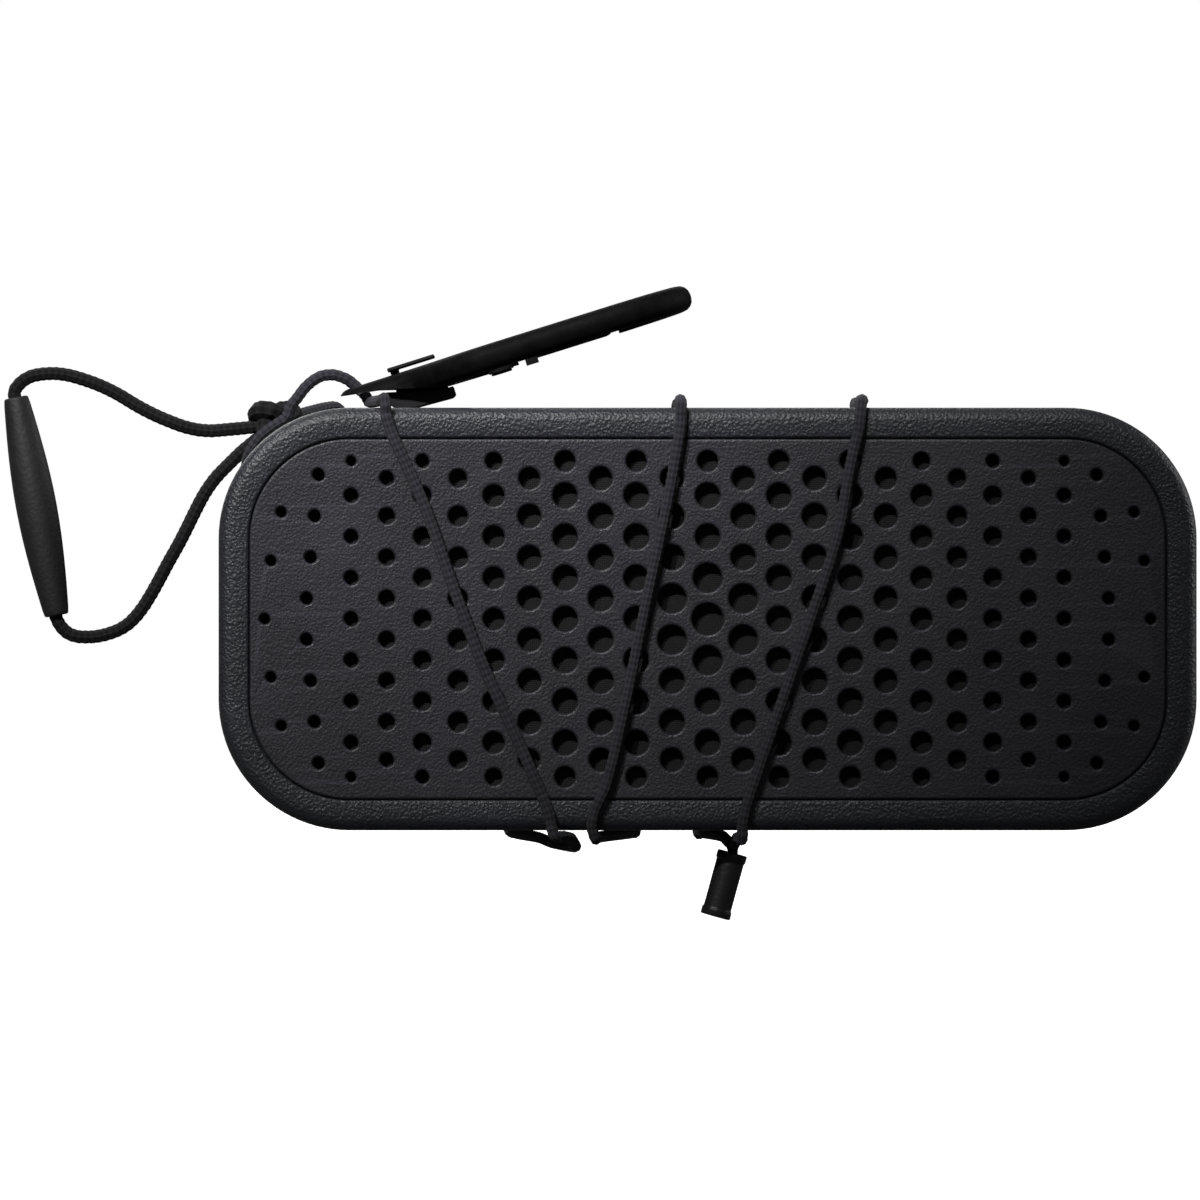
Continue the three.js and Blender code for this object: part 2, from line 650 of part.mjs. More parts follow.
// ---- carabiner ----------------------------------------------------------------------------------
// Its own axes: u along the bar from the eye to the far end, v across it, and w up through its thickness.
function carabinerOutline() {
  const shape = new THREE.Shape();
  shape.moveTo(0, -5.6);
  shape.lineTo(8, -7.2);
  shape.bezierCurveTo(16, -8, 18, -BOW_OUTER, 28, -BOW_OUTER);
  shape.lineTo(ROUND_END_U, -BOW_OUTER);
  shape.absarc(ROUND_END_U, 0, BOW_OUTER, -Math.PI / 2, Math.PI / 2);
  shape.lineTo(28, BOW_OUTER);
  shape.bezierCurveTo(18, BOW_OUTER, 16, 8, 8, 7.2);
  shape.lineTo(0, 5.6);
  shape.quadraticCurveTo(-2.4, 5.4, -2.4, 2);
  shape.lineTo(-2.4, -2);
  shape.quadraticCurveTo(-2.4, -5.4, 0, -5.6);

  const opening = new THREE.Path();
  opening.moveTo(26, -BOW_INNER);
  opening.lineTo(ROUND_END_U, -BOW_INNER);
  opening.absarc(ROUND_END_U, 0, BOW_INNER, -Math.PI / 2, Math.PI / 2);
  opening.lineTo(26, BOW_INNER);
  opening.bezierCurveTo(20, BOW_INNER, 20, -BOW_INNER, 26, -BOW_INNER);
  shape.holes.push(opening);
  shape.holes.push(roundedRectangle(6.6, 3.4, 3.3, 5.8, 0));
  return shape;
}

function carabinerFrame(rivetHole) {
  const wedge = polygon([[-9, -0.6], [4, -0.6], [16, CARABINER_UNDERSIDE], [16, -9], [-9, -9]]);
  const taper = plate(wedge, -20, 20);
  const gateGap = block(FORK_END_U, 51, 9, 20, -9, 9);
  const fork = block(GATE_PIVOT_U - 4.5, FORK_END_U + 0.2, 7, 20, -2.9, -0.2);
  const keeperGroove = plate(polygon([[10, -1.1], [18.1, -3], [18.1, -9], [10, -9]]), -1.4, 1.4);
  const bar = slab(carabinerOutline(), CARABINER_UNDERSIDE, CARABINER_TOP, 6);
  return cut(bar, taper, gateGap, fork, keeperGroove, rivetHole);
}

function carabinerGate(rivetHole) {
  const bar = slab(roundedRectangle(9.2, 2.3, 1, 41.2, 13.5), -3.7, 0.75, 3);
  const tongue = pinZ(2.6, GATE_PIVOT_U, GATE_PIVOT_V, -2.1, -0.5, 14);
  const web = block(GATE_PIVOT_U, 33, 11.6, 14.6, -2.1, -0.5);
  const thumbRib = block(32.7, 35.1, 11.8, 15.2, -4.5, -3.5);
  return cut(join(bar, tongue, web, thumbRib), rivetHole);
}

function carabinerKeeper() {
  const pad = polygon([
    [5.6, -3.4], [6.3, -1.75], [16.1, -4.35], [18.6, -4.35], [18.6, -6], [17.9, -6.4], [8, -6],
  ]);
  const rib = polygon([[8.4, -4], [8.4, -1.4], [10.3, -1.6], [17.6, -3.4], [17.6, -5]]);
  return join(
    plate(pad, -4.8, 4.8),
    plate(rib, -1, 1),
    block(8.2, 9.8, -2.8, 2.8, -5, 2.3),
    block(7.8, 16.9, -4.5, 4.5, 1.75, 2.4),
  );
}

function addCarabiner(parent) {
  const place = group(parent, ...CARABINER_PLACE.toArray());
  place.rotation.y = -CARABINER_TILT;
  const rivetHole = pinZ(1.1, GATE_PIVOT_U, GATE_PIVOT_V, -9, 9);
  piece(place, "carabiner_frame", carabinerFrame(rivetHole), CARABINER_COAT);
  piece(place, "carabiner_gate", carabinerGate(rivetHole), CARABINER_COAT);
  piece(place, "carabiner_keeper", carabinerKeeper(), SOFT_RUBBER);

  const pivot = group(place, GATE_PIVOT_U, GATE_PIVOT_V);
  const rivet = turned([[0, -4.5], [2, -4.5], [2, -4.1], [0.8, -4.1], [0.8, 0.7], [0, 0.7]], 12);
  piece(pivot, "gate_rivet", rivet.rotateX(Math.PI / 2), STEEL);
  const spring = turned([[1.3, -2.65], [2.4, -2.65], [2.4, -2.35], [1.3, -2.35]], 14);
  piece(pivot, "gate_spring", spring.rotateX(Math.PI / 2), STEEL);
}

// ---- the whole ----------------------------------------------------------------------------------
const speaker = new THREE.Group();
speaker.name = "shower_speaker";
speaker.position.copy(BODY_PLACE);
addFront(speaker);
addCaseScrews(speaker);
addRearShell(speaker);
addDriver(speaker, "left", -DRIVER_X);
addDriver(speaker, "right", DRIVER_X);
addRadiator(speaker);
addBattery(speaker);
addBoards(speaker);
addControls(speaker);
addPortDoor(speaker);
addWristStrap(speaker);
addElastic(speaker);
addCarabiner(speaker);

export default speaker;
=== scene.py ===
"""Looks of the shower speaker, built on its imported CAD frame. Metres; the front faces -Y and +Z is up."""

import json
import math

import bmesh
import bpy
from mathutils import Matrix, Vector

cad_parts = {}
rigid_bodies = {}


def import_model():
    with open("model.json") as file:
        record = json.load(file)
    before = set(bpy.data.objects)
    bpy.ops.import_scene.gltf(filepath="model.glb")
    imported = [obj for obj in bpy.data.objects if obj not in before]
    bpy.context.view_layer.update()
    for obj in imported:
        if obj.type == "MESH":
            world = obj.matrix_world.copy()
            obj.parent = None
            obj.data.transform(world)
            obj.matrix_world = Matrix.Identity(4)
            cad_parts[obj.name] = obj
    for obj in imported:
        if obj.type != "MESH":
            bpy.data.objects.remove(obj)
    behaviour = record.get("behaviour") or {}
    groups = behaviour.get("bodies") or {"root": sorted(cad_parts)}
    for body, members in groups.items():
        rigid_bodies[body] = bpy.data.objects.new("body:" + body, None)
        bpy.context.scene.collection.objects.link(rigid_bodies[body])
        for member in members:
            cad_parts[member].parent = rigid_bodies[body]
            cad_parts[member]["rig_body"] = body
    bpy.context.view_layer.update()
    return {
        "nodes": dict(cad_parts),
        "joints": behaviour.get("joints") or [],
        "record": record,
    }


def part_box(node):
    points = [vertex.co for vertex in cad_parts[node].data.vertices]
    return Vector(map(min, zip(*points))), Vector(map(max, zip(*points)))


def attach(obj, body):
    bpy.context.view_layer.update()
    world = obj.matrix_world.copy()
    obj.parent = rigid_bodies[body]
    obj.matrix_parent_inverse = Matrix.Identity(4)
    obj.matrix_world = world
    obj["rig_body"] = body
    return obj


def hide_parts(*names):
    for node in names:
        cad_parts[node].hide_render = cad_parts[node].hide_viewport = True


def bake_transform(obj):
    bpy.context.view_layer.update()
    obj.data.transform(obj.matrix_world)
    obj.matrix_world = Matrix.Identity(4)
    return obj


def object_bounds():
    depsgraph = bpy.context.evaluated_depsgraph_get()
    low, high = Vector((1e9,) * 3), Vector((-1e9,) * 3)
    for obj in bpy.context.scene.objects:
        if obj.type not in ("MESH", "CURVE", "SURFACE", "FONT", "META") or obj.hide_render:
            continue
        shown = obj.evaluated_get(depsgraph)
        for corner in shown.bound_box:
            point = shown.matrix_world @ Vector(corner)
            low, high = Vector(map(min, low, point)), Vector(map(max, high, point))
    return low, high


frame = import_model()

MM = 0.001
SLOT_OF = {part["node"]: part["material_slot"] for part in frame["record"]["subparts"]}

# Body outline, bumpers and grille. Holes are given by diameter, and the bowed columns are at the ends.
CORNER_RADIUS = 24.1 * MM
CORNER_STEPS = 24
GROOVE_WIDTH = 0.35 * MM
GROOVE_LINE = 0.12 * MM
RIM_WIDTH = 5.6 * MM
HOLE_STEPS = 28
COLUMN_PITCH = 6.555 * MM
ROW_PITCH = 7.575 * MM
OUTER_ROW_PITCH = 6.33 * MM
FULL_ROWS_HEIGHT = 22.7 * MM
LAST_STRAIGHT_COLUMN = 10
CENTRE_HOLE = 5.8 * MM
NEXT_HOLE = 5.3 * MM
COMMON_HOLE = 4.55 * MM
SHRINK_FROM_COLUMN = 4
SHRINK_PER_COLUMN = 0.33 * MM
OUTER_ROW_SHRINK = (0.8 * MM, 0.35 * MM)
BOWED_COLUMN_X = 74.1 * MM
BOW_PER_ROW = 0.73 * MM
BOWED_COLUMN_HOLE = 2.2 * MM
LAST_HOLE = 1.9 * MM
LAST_HOLES = ((80.3 * MM, 10.7 * MM), (78.4 * MM, 19.65 * MM))
MIDDLE_LAST_HOLE_X = 81.45 * MM
HOLE_ROUNDING = 0.5 * MM
BODY_EDGE_ROUND = 2.4 * MM
FRONT_LIP = 0.5 * MM
REAR_LIP = 0.8 * MM
BACK_CHAMFER = 0.3 * MM
BACK_ROUND = 1.2 * MM
BACK_ROUND_MIDDLE = 0.35 * MM

# Cords. An elastic cord nearer the body than TIGHT_BELOW is taut, and one beyond LOOSE_ABOVE hangs free.
ELASTIC_RADIUS = 1.1 * MM
WRIST_RADIUS = 1.27 * MM
CORD_RING_SIZE = 5
CORD_STEP = 0.3 * MM
CORD_SIDES = 24
ELASTIC_POINT_STEP = 1.2 * MM
TAIL_RADIUS = 0.98 * MM
TAIL_APART = 1.0 * MM
TAIL_DEPTH = 1.3 * MM
TAIL_STEPS = 6
BRAID_STRANDS = 4
BRAID_PITCH = 4.8 * MM
BRAID_RELIEF = 0.16
CORD_REST = 0.15 * MM
TIGHT_BELOW = 1.95 * MM
LOOSE_ABOVE = 2.7 * MM

# Wrist knot. Before it is scaled, a trefoil reaches TREFOIL_ACROSS to each side and, from a middle that is
# TREFOIL_MIDDLE below its own zero, TREFOIL_UP upwards and downwards. KNOT_HALF is half the knot's size, and
# KNOT_DROP is how far the knot's middle lies below the top of the CAD's knot.
TREFOIL_ACROSS = 2.74
TREFOIL_UP = 2.53
TREFOIL_MIDDLE = 0.47
KNOT_HALF = (5.3 * MM, 4.3 * MM, 4.5 * MM)
KNOT_DROP = 4.2 * MM
KNOT_CORD_RADIUS = 1.85 * MM
KNOT_STEPS = 110
TIE_RADIUS = 2.9 * MM
TIE_CORD_RADIUS = 0.9 * MM

# Stopper, in millimetres, and the strap's grip.
STOPPER_LENGTH = 12.2
STOPPER_RADIUS = 2.8
STOPPER_WAIST = 2.6
STOPPER_COLLAR = 1.3
STOPPER_MOUTH = 2.1
STOPPER_RECESS = 1.6
TURNED_SIDES = 48
GRIP_LEAN = math.radians(10.6)
GRIP_LENGTH = 41.3 * MM
GRIP_END = 2.3 * MM
GRIP_MIDDLE = 3.8 * MM
GRIP_BORE = 1.5 * MM
GRIP_EDGE = 0.5 * MM
GRIP_STEPS = 30

# Carabiner, in millimetres along its own axes: u along the bar, v across it and w up through its thickness.
# Boxes are spans of u, v and w. The slot and the gate's bar are spans of u and v and a corner radius.
BAR_W = (-3.9, 0.95)
ROUND_END_U = 49.6
BOW_OUTER = 16
BOW_INNER = 11
EYE_SLOT = (-0.8, 12.4, -3.4, 3.4, 3.3)
GATE_PIVOT = (27.9, 12.6)
GATE_SPACE = (31.4, 51, 9, 20, -9, 9)
FORK_SPACE = (23.4, 31.6, 7, 20, -2.9, -0.2)
GATE_BAR = (32, 50.4, 11.2, 15.8, 2.2)
GATE_BAR_W = (-3.7, 0.75)
TONGUE_W = (-2.1, -0.5)
TONGUE_RADIUS = 2.6
SEAT_RADIUS = 2.4
SEAT_W = (-4.08, -3)
RIVET_HOLE = 1.1
THUMB_RIB = (32.7, 35.1, 12, 15, -4.5, -2)
GATE_WEB = (27.9, 33.5, 11.6, 14.6, -2.1, -0.5)
THROUGH = (-9, 9)
ACROSS = (-20, 20)
KEEPER_GROOVE_V = (-1.4, 1.4)
BAR_ROUNDING = 2.1 * MM
GATE_ROUNDING = 1.9 * MM

# Camera and studio. Lamps stand and aim at places measured from the middle of the bezel.
CAMERA_DISTANCE = 2.2
PICTURE_WIDTH = 220.6 * MM
LOOK_LEFT = 19.8 * MM
LOOK_UP = 3.5 * MM
SPOTS = {
    "key": {"place": (-0.55, -1.1, 0.95), "aim": (-0.085, 0, 0.075), "cone_degrees": 9.5, "power": 130},
    "second_key": {"place": (-0.3, -1.1, 0.95), "aim": (0.02, 0, 0.07), "cone_degrees": 8.5, "power": 45},
}
SOFTBOXES = {
    "overhead": {"place": (-0.2, 0.05, 1.1), "size": (1.2, 0.6), "power": 1.5},
    "fill": {"place": (0.6, -1.2, 0.3), "size": (1.0, 1.0), "power": 0.3},
    "side": {"place": (1.2, 0.35, 0.5), "size": (0.8, 0.8), "power": 6},
    "back": {"place": (-0.5, 1.2, 0.8), "size": (1.2, 0.8), "power": 10},
}

# Wear shows where the surface's pointiness is between WORN_EDGES, and WEAR is how strongly it covers.
WORN_EDGES = (0.52, 0.6)
WEAR = 0.6
SHARP_ANGLE = math.radians(32)
BODY_LOW = Vector(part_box("front_bezel")[0])
BODY_HIGH = Vector(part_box("rear_bumper")[1])


def joint_named(name):
    return next(joint for joint in frame["joints"] if joint["name"] == name)


def middle(node):
    low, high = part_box(node)
    return (Vector(low) + Vector(high)) / 2


# ---- materials ----------------------------------------------------------------------------------
class Surface:
    """A node material that starts from one Principled shader and is built up in object space."""

    def __init__(self, name, roughness, metallic=0.0, sheen=0.0, specular=0.5):
        self.material = bpy.data.materials.new(name)
        self.material.use_nodes = True
        self.tree = self.material.node_tree
        self.shader = self.tree.nodes["Principled BSDF"]
        self.shader.inputs["Roughness"].default_value = roughness
        self.shader.inputs["Metallic"].default_value = metallic
        self.shader.inputs["Specular IOR Level"].default_value = specular
        self.shader.inputs["Sheen Weight"].default_value = sheen
        self.shader.inputs["Sheen Roughness"].default_value = 0.45
        self.place = self.node("ShaderNodeTexCoord").outputs["Object"]
        self.height = None

    def node(self, kind, **settings):
        made = self.tree.nodes.new(kind)
        for key, value in settings.items():
            setattr(made, key, value)
        return made

    def link(self, source, target):
        self.tree.links.new(source, target)

    def stretched(self, scale):
        """Object coordinates, scaled along each axis."""
        mapping = self.node("ShaderNodeMapping")
        mapping.inputs["Scale"].default_value = scale
        self.link(self.place, mapping.inputs["Vector"])
        return mapping.outputs["Vector"]

    def noise(self, per_metre, detail=4.0, stretch=(1, 1, 1)):
        texture = self.node("ShaderNodeTexNoise")
        texture.inputs["Scale"].default_value = per_metre
        texture.inputs["Detail"].default_value = detail
        self.link(self.stretched(stretch), texture.inputs["Vector"])
        return texture.outputs["Fac"]

    def cells(self, per_metre):
        texture = self.node("ShaderNodeTexVoronoi", feature="SMOOTH_F1")
        texture.inputs["Scale"].default_value = per_metre
        texture.inputs["Smoothness"].default_value = 0.6
        self.link(self.place, texture.inputs["Vector"])
        return texture.outputs["Distance"]

    def weave(self, per_metre, direction):
        texture = self.node("ShaderNodeTexWave", wave_type="BANDS", bands_direction=direction)
        texture.inputs["Scale"].default_value = per_metre
        texture.inputs["Distortion"].default_value = 0.4
        self.link(self.place, texture.inputs["Vector"])
        return texture.outputs["Fac"]

    def ramp(self, source, low, high, start=0.3, end=0.7):
        """One colour below start, another above end, and a blend between them."""
        ramp = self.node("ShaderNodeValToRGB")
        for stop, value, place in zip(ramp.color_ramp.elements, (low, high), (start, end)):
            stop.color = (*value, 1)
            stop.position = place
        self.link(source, ramp.inputs["Fac"])
        return ramp.outputs["Color"]

    def spread(self, source, low, high, start=0, end=1):
        """A value between start and end, moved to lie between low and high."""
        reach = self.node("ShaderNodeMapRange")
        reach.inputs["From Min"].default_value = start
        reach.inputs["From Max"].default_value = end
        reach.inputs["To Min"].default_value = low
        reach.inputs["To Max"].default_value = high
        self.link(source, reach.inputs["Value"])
        return reach.outputs["Result"]

    def worn(self, color, wear):
        """Lightens the edges, where a handled piece rubs."""
        edges = self.node("ShaderNodeNewGeometry").outputs["Pointiness"]
        mask = self.ramp(edges, (0, 0, 0), (1, 1, 1), *WORN_EDGES)
        mix = self.node("ShaderNodeMix", data_type="RGBA", blend_type="MIX")
        share = self.node("ShaderNodeMath", operation="MULTIPLY")
        share.inputs[1].default_value = WEAR
        self.link(mask, share.inputs[0])
        self.link(share.outputs[0], mix.inputs[0])
        self.link(color, mix.inputs[6])
        mix.inputs[7].default_value = (*wear, 1)
        return mix.outputs[2]

    def color(self, output):
        self.link(output, self.shader.inputs["Base Color"])

    def rough(self, output):
        self.link(output, self.shader.inputs["Roughness"])

    def bump(self, source, depth):
        """Adds relief on top of the relief that the surface already has."""
        bump = self.node("ShaderNodeBump")
        bump.inputs["Distance"].default_value = depth
        bump.inputs["Strength"].default_value = 1
        self.link(source, bump.inputs["Height"])
        if self.height is not None:
            self.link(self.height, bump.inputs["Normal"])
        self.height = bump.outputs["Normal"]
        self.link(self.height, self.shader.inputs["Normal"])


def grained_rubber(name, dark, light, grain_per_metre, grain_depth, roughness, sheen, specular=0.5):
    surface = Surface(name, roughness, sheen=sheen, specular=specular)
    patches = surface.noise(60, 3)
    color = surface.ramp(patches, dark, light)
    surface.color(surface.worn(color, tuple(1.7 * value for value in light)))
    surface.rough(surface.spread(surface.noise(500, 5), roughness - 0.08, roughness + 0.1))
    surface.bump(surface.cells(grain_per_metre), grain_depth)
    surface.bump(surface.noise(3.2 * grain_per_metre, 5), 0.3 * grain_depth)
    return surface.material


def bumper_rubber():
    dark, light = (0.013, 0.014, 0.018), (0.022, 0.023, 0.03)
    return grained_rubber("bumper_rubber", dark, light, 1900, 0.00015, 0.46, 0.03)


def grille_rubber():
    dark, light = (0.011, 0.011, 0.016), (0.019, 0.019, 0.026)
    return grained_rubber("grille_rubber", dark, light, 2100, 0.00008, 0.5, 0.03)


def shell_plastic():
    dark, light = (0.011, 0.011, 0.013), (0.016, 0.016, 0.018)
    return grained_rubber("shell_plastic", dark, light, 1500, 0.00005, 0.5, 0)


def soft_rubber():
    dark, light = (0.007, 0.007, 0.0078), (0.012, 0.012, 0.013)
    return grained_rubber("soft_rubber", dark, light, 2600, 0.00003, 0.66, 0, 0.12)


def grip_rubber():
    dark, light = (0.009, 0.009, 0.009), (0.014, 0.014, 0.014)
    return grained_rubber("grip_rubber", dark, light, 1300, 0.00005, 0.6, 0.02)


def stopper_plastic():
    dark, light = (0.008, 0.008, 0.009), (0.013, 0.013, 0.014)
    return grained_rubber("stopper_plastic", dark, light, 2200, 0.00004, 0.42, 0)


def inner_plastic():
    dark, light = (0.01, 0.01, 0.011), (0.016, 0.016, 0.017)
    return grained_rubber("inner_plastic", dark, light, 1200, 0.00004, 0.5, 0)


def cone_paper():
    surface = Surface("cone_paper", 0.8)
    fibres = surface.noise(1400, 8, (1, 4, 1))
    surface.color(surface.ramp(fibres, (0.016, 0.016, 0.018), (0.04, 0.04, 0.043)))
    surface.bump(fibres, 0.00008)
    return surface.material


def mesh_cloth():
    surface = Surface("mesh_cloth", 0.95, sheen=0.1)
    across = surface.weave(900, "X")
    along = surface.weave(900, "Z")
    both = surface.node("ShaderNodeMath", operation="MULTIPLY")
    surface.link(across, both.inputs[0])
    surface.link(along, both.inputs[1])
    surface.color(surface.ramp(both.outputs[0], (0.002, 0.002, 0.002), (0.012, 0.012, 0.013), 0.1, 0.8))
    surface.bump(both.outputs[0], 0.0001)
    return surface.material


def braid(name, dark, light, sheen):
    """Painted shade between the strands and a painted highlight on top of them, as braided_tube has marked,
    varied by a random tone.
    """
    surface = Surface(name, 0.85, sheen=sheen, specular=0.2)
    ridge = surface.node("ShaderNodeAttribute", attribute_name="ridge").outputs["Fac"]
    painted_shade_and_tone = surface.node("ShaderNodeMath", operation="MULTIPLY")
    surface.link(ridge, painted_shade_and_tone.inputs[0])
    surface.link(surface.spread(surface.noise(400, 3), 0.7, 1.3), painted_shade_and_tone.inputs[1])
    surface.color(surface.ramp(painted_shade_and_tone.outputs[0], dark, light, 0.15, 0.85))
    surface.bump(surface.noise(5000, 6), 0.00006)
    return surface.material


# Each braid's first colour is the painted shade between its strands, and the second the painted highlight on
# their tops.
def cord_braid():
    return braid("cord_braid", (0.0012, 0.0012, 0.0015), (0.0155, 0.0155, 0.017), 0.01)


def elastic_braid():
    return braid("elastic_braid", (0.012, 0.012, 0.015), (0.042, 0.042, 0.052), 0.05)


def metal(name, dark, light, roughness, metallic=1.0, stretch=(1, 1, 12)):
    surface = Surface(name, roughness, metallic)
    strokes = surface.noise(900, 6, stretch)
    surface.color(surface.worn(surface.ramp(strokes, dark, light), light))
    surface.rough(surface.spread(strokes, roughness - 0.1, roughness + 0.12))
    surface.bump(strokes, 0.00002)
    return surface.material


def steel():
    return metal("steel", (0.2, 0.2, 0.21), (0.42, 0.42, 0.44), 0.32)


def ferrite():
    return metal("ferrite", (0.02, 0.02, 0.022), (0.05, 0.05, 0.055), 0.6, 0.3, (1, 1, 1))


def copper():
    return metal("copper", (0.32, 0.1, 0.04), (0.5, 0.18, 0.08), 0.35, 1.0, (1, 20, 1))


def carabiner_coat():
    surface = Surface("carabiner_coat", 0.6, specular=0.05)
    marks = surface.noise(260, 8, (1, 3, 1))
    base = surface.ramp(marks, (0.0012, 0.0012, 0.0012), (0.0042, 0.0042, 0.0042))
    surface.color(surface.worn(base, (0.01, 0.01, 0.011)))
    surface.rough(surface.spread(surface.noise(900, 6), 0.52, 0.74))
    surface.bump(surface.noise(4200, 4), 0.00003)
    return surface.material


def board_laminate():
    surface = Surface("board_laminate", 0.45)
    tracks = surface.node("ShaderNodeTexBrick")
    tracks.inputs["Scale"].default_value = 130
    tracks.inputs["Mortar Size"].default_value = 0.04
    tracks.inputs["Color1"].default_value = (0.006, 0.06, 0.024, 1)
    tracks.inputs["Color2"].default_value = (0.008, 0.075, 0.03, 1)
    tracks.inputs["Mortar"].default_value = (0.012, 0.12, 0.05, 1)
    turn = surface.node("ShaderNodeMapping")
    turn.inputs["Rotation"].default_value = (math.pi / 2, 0, 0)
    surface.link(surface.place, turn.inputs["Vector"])
    surface.link(turn.outputs["Vector"], tracks.inputs["Vector"])
    surface.color(tracks.outputs["Color"])
    surface.bump(tracks.outputs["Fac"], 0.00003)
    return surface.material


def cell_wrap():
    surface = Surface("cell_wrap", 0.25)
    creases = surface.noise(220, 4, (6, 1, 1))
    surface.color(surface.ramp(creases, (0.015, 0.09, 0.27), (0.03, 0.15, 0.42)))
    surface.bump(creases, 0.00008)
    return surface.material


def clear_lens():
    surface = Surface("clear_lens", 0.15)
    haze = surface.noise(700, 3)
    surface.color(surface.ramp(haze, (0.5, 0.54, 0.57), (0.75, 0.8, 0.84)))
    surface.bump(haze, 0.00001)
    return surface.material


MATERIALS = {
    make.__name__: make()
    for make in (
        bumper_rubber, grille_rubber, shell_plastic, soft_rubber, mesh_cloth, inner_plastic, cone_paper,
        steel, ferrite, copper, board_laminate, cell_wrap, clear_lens, cord_braid, elastic_braid,
        grip_rubber, carabiner_coat, stopper_plastic,
    )
}


# ---- mesh helpers -------------------------------------------------------------------------------
def new_piece(name, mesh, body, slot, *nodes):
    piece = bpy.data.objects.new(name, mesh)
    bpy.context.scene.collection.objects.link(piece)
    mesh.materials.clear()
    mesh.materials.append(MATERIALS[slot])
    if body is not None:
        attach(piece, body)
    if nodes:
        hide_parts(*nodes)
    return piece


def body_of(node):
    return frame["nodes"][node]["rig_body"]


def mesh_from(name, points, faces, smooth=True):
    mesh = bpy.data.meshes.new(name)
    mesh.from_pydata([tuple(p) for p in points], [], faces)
    work = bmesh.new()
    work.from_mesh(mesh)
    bmesh.ops.recalc_face_normals(work, faces=work.faces)
    for face in work.faces:
        face.smooth = smooth
    mark_sharp(work)
    work.to_mesh(mesh)
    work.free()
    return mesh


def mark_sharp(work):
    for edge in work.edges:
        if len(edge.link_faces) == 2:
            edge.smooth = edge.calc_face_angle(0) < SHARP_ANGLE


def round_edges(piece, width):
    """Rounds the sharp edges, and keeps the flat faces looking flat."""
    bevel = piece.modifiers.new("round_edges", "BEVEL")
    bevel.width = width
    bevel.segments = 2
    bevel.limit_method = "ANGLE"
    bevel.angle_limit = SHARP_ANGLE
    keep_flat(piece)


def keep_flat(piece):
    weighted = piece.modifiers.new("keep_flat", "WEIGHTED_NORMAL")
    weighted.keep_sharp = True


def refined(node, edge):
    """A CAD node cleaned of its triangulation, with its sharp edges rounded."""
    source = frame["nodes"][node]
    mesh = bpy.data.meshes.new(node + "_look")
    work = bmesh.new()
    work.from_mesh(source.data)
    bmesh.ops.remove_doubles(work, verts=work.verts, dist=0.002 * MM)
    bmesh.ops.dissolve_limit(work, angle_limit=math.radians(0.5), verts=work.verts, edges=work.edges)
    for face in work.faces:
        face.smooth = True
    mark_sharp(work)
    work.to_mesh(mesh)
    work.free()
    piece = new_piece(node + "_look", mesh, body_of(node), SLOT_OF[node], node)
    if edge:
        round_edges(piece, edge)


def arc(x, y, radius, start, end, steps=24):
    turns = [start + (end - start) * i / steps for i in range(steps + 1)]
    return [(x + radius * math.cos(turn), y + radius * math.sin(turn)) for turn in turns]


def bezier(start, handle, far_handle, end, steps=16):
    points = []
    for i in range(steps + 1):
        t = i / steps
        shares = ((1 - t) ** 3, 3 * t * (1 - t) ** 2, 3 * t * t * (1 - t), t**3)
        corners = (start, handle, far_handle, end)
        points.append(tuple(sum(share * corner[k] for share, corner in zip(shares, corners)) for k in (0, 1)))
    return points


def rounded_rectangle(x0, x1, y0, y1, radius, steps=8):
    quarter = math.pi / 2
    return [
        *arc(x1 - radius, y0 + radius, radius, -quarter, 0, steps),
        *arc(x1 - radius, y1 - radius, radius, 0, quarter, steps),
        *arc(x0 + radius, y1 - radius, radius, quarter, 2 * quarter, steps),
        *arc(x0 + radius, y0 + radius, radius, 2 * quarter, 3 * quarter, steps),
    ]


def finished(mesh):
    """Welded, faces out, smooth, and sharp where the surface turns sharply."""
    work = bmesh.new()
    work.from_mesh(mesh)
    bmesh.ops.remove_doubles(work, verts=work.verts, dist=0.001 * MM)
    bmesh.ops.recalc_face_normals(work, faces=work.faces)
    for face in work.faces:
        face.smooth = True
    mark_sharp(work)
    work.to_mesh(mesh)
    work.free()
    return mesh


def baked(holder):
    """The mesh that an object has with its modifiers or its curve applied. The object goes."""
    bpy.context.view_layer.update()
    seen = holder.evaluated_get(bpy.context.evaluated_depsgraph_get())
    mesh = bpy.data.meshes.new_from_object(seen)
    bpy.data.objects.remove(holder)
    return mesh


def drawn_slab(name, loops, bottom, top, rounding):
    """A flat shape, its outline first and then its holes, raised from bottom to top with rounded rims."""
    curve = bpy.data.curves.new(name, "CURVE")
    curve.dimensions = "2D"
    curve.fill_mode = "BOTH"
    curve.extrude = (top - bottom) / 2 - rounding
    curve.bevel_depth = rounding
    curve.bevel_resolution = 3
    curve.offset = -rounding
    for loop in loops:
        spline = curve.splines.new("POLY")
        spline.points.add(len(loop) - 1)
        for target, (x, y) in zip(spline.points, loop):
            target.co = (x, y, 0, 1)
        spline.use_cyclic_u = True
    drawing = bpy.data.objects.new(name, curve)
    bpy.context.scene.collection.objects.link(drawing)
    mesh = baked(drawing)
    mesh.name = name
    mesh.transform(Matrix.Translation((0, 0, (bottom + top) / 2)))
    return finished(mesh)


def prism(loop, bottom, top):
    """A sharp-edged solid over a flat outline."""
    count = len(loop)
    points = [(x, y, bottom) for x, y in loop] + [(x, y, top) for x, y in loop]
    faces = [(i, (i + 1) % count, count + (i + 1) % count, count + i) for i in range(count)]
    faces += [tuple(reversed(range(count))), tuple(range(count, 2 * count))]
    return mesh_from("prism", points, faces, smooth=False)


def edgewise(mesh):
    """Turns a prism drawn in X and Y so that it is drawn in X and Z and reaches along Y."""
    mesh.transform(Matrix.Rotation(math.pi / 2, 4, "X"))
    return mesh


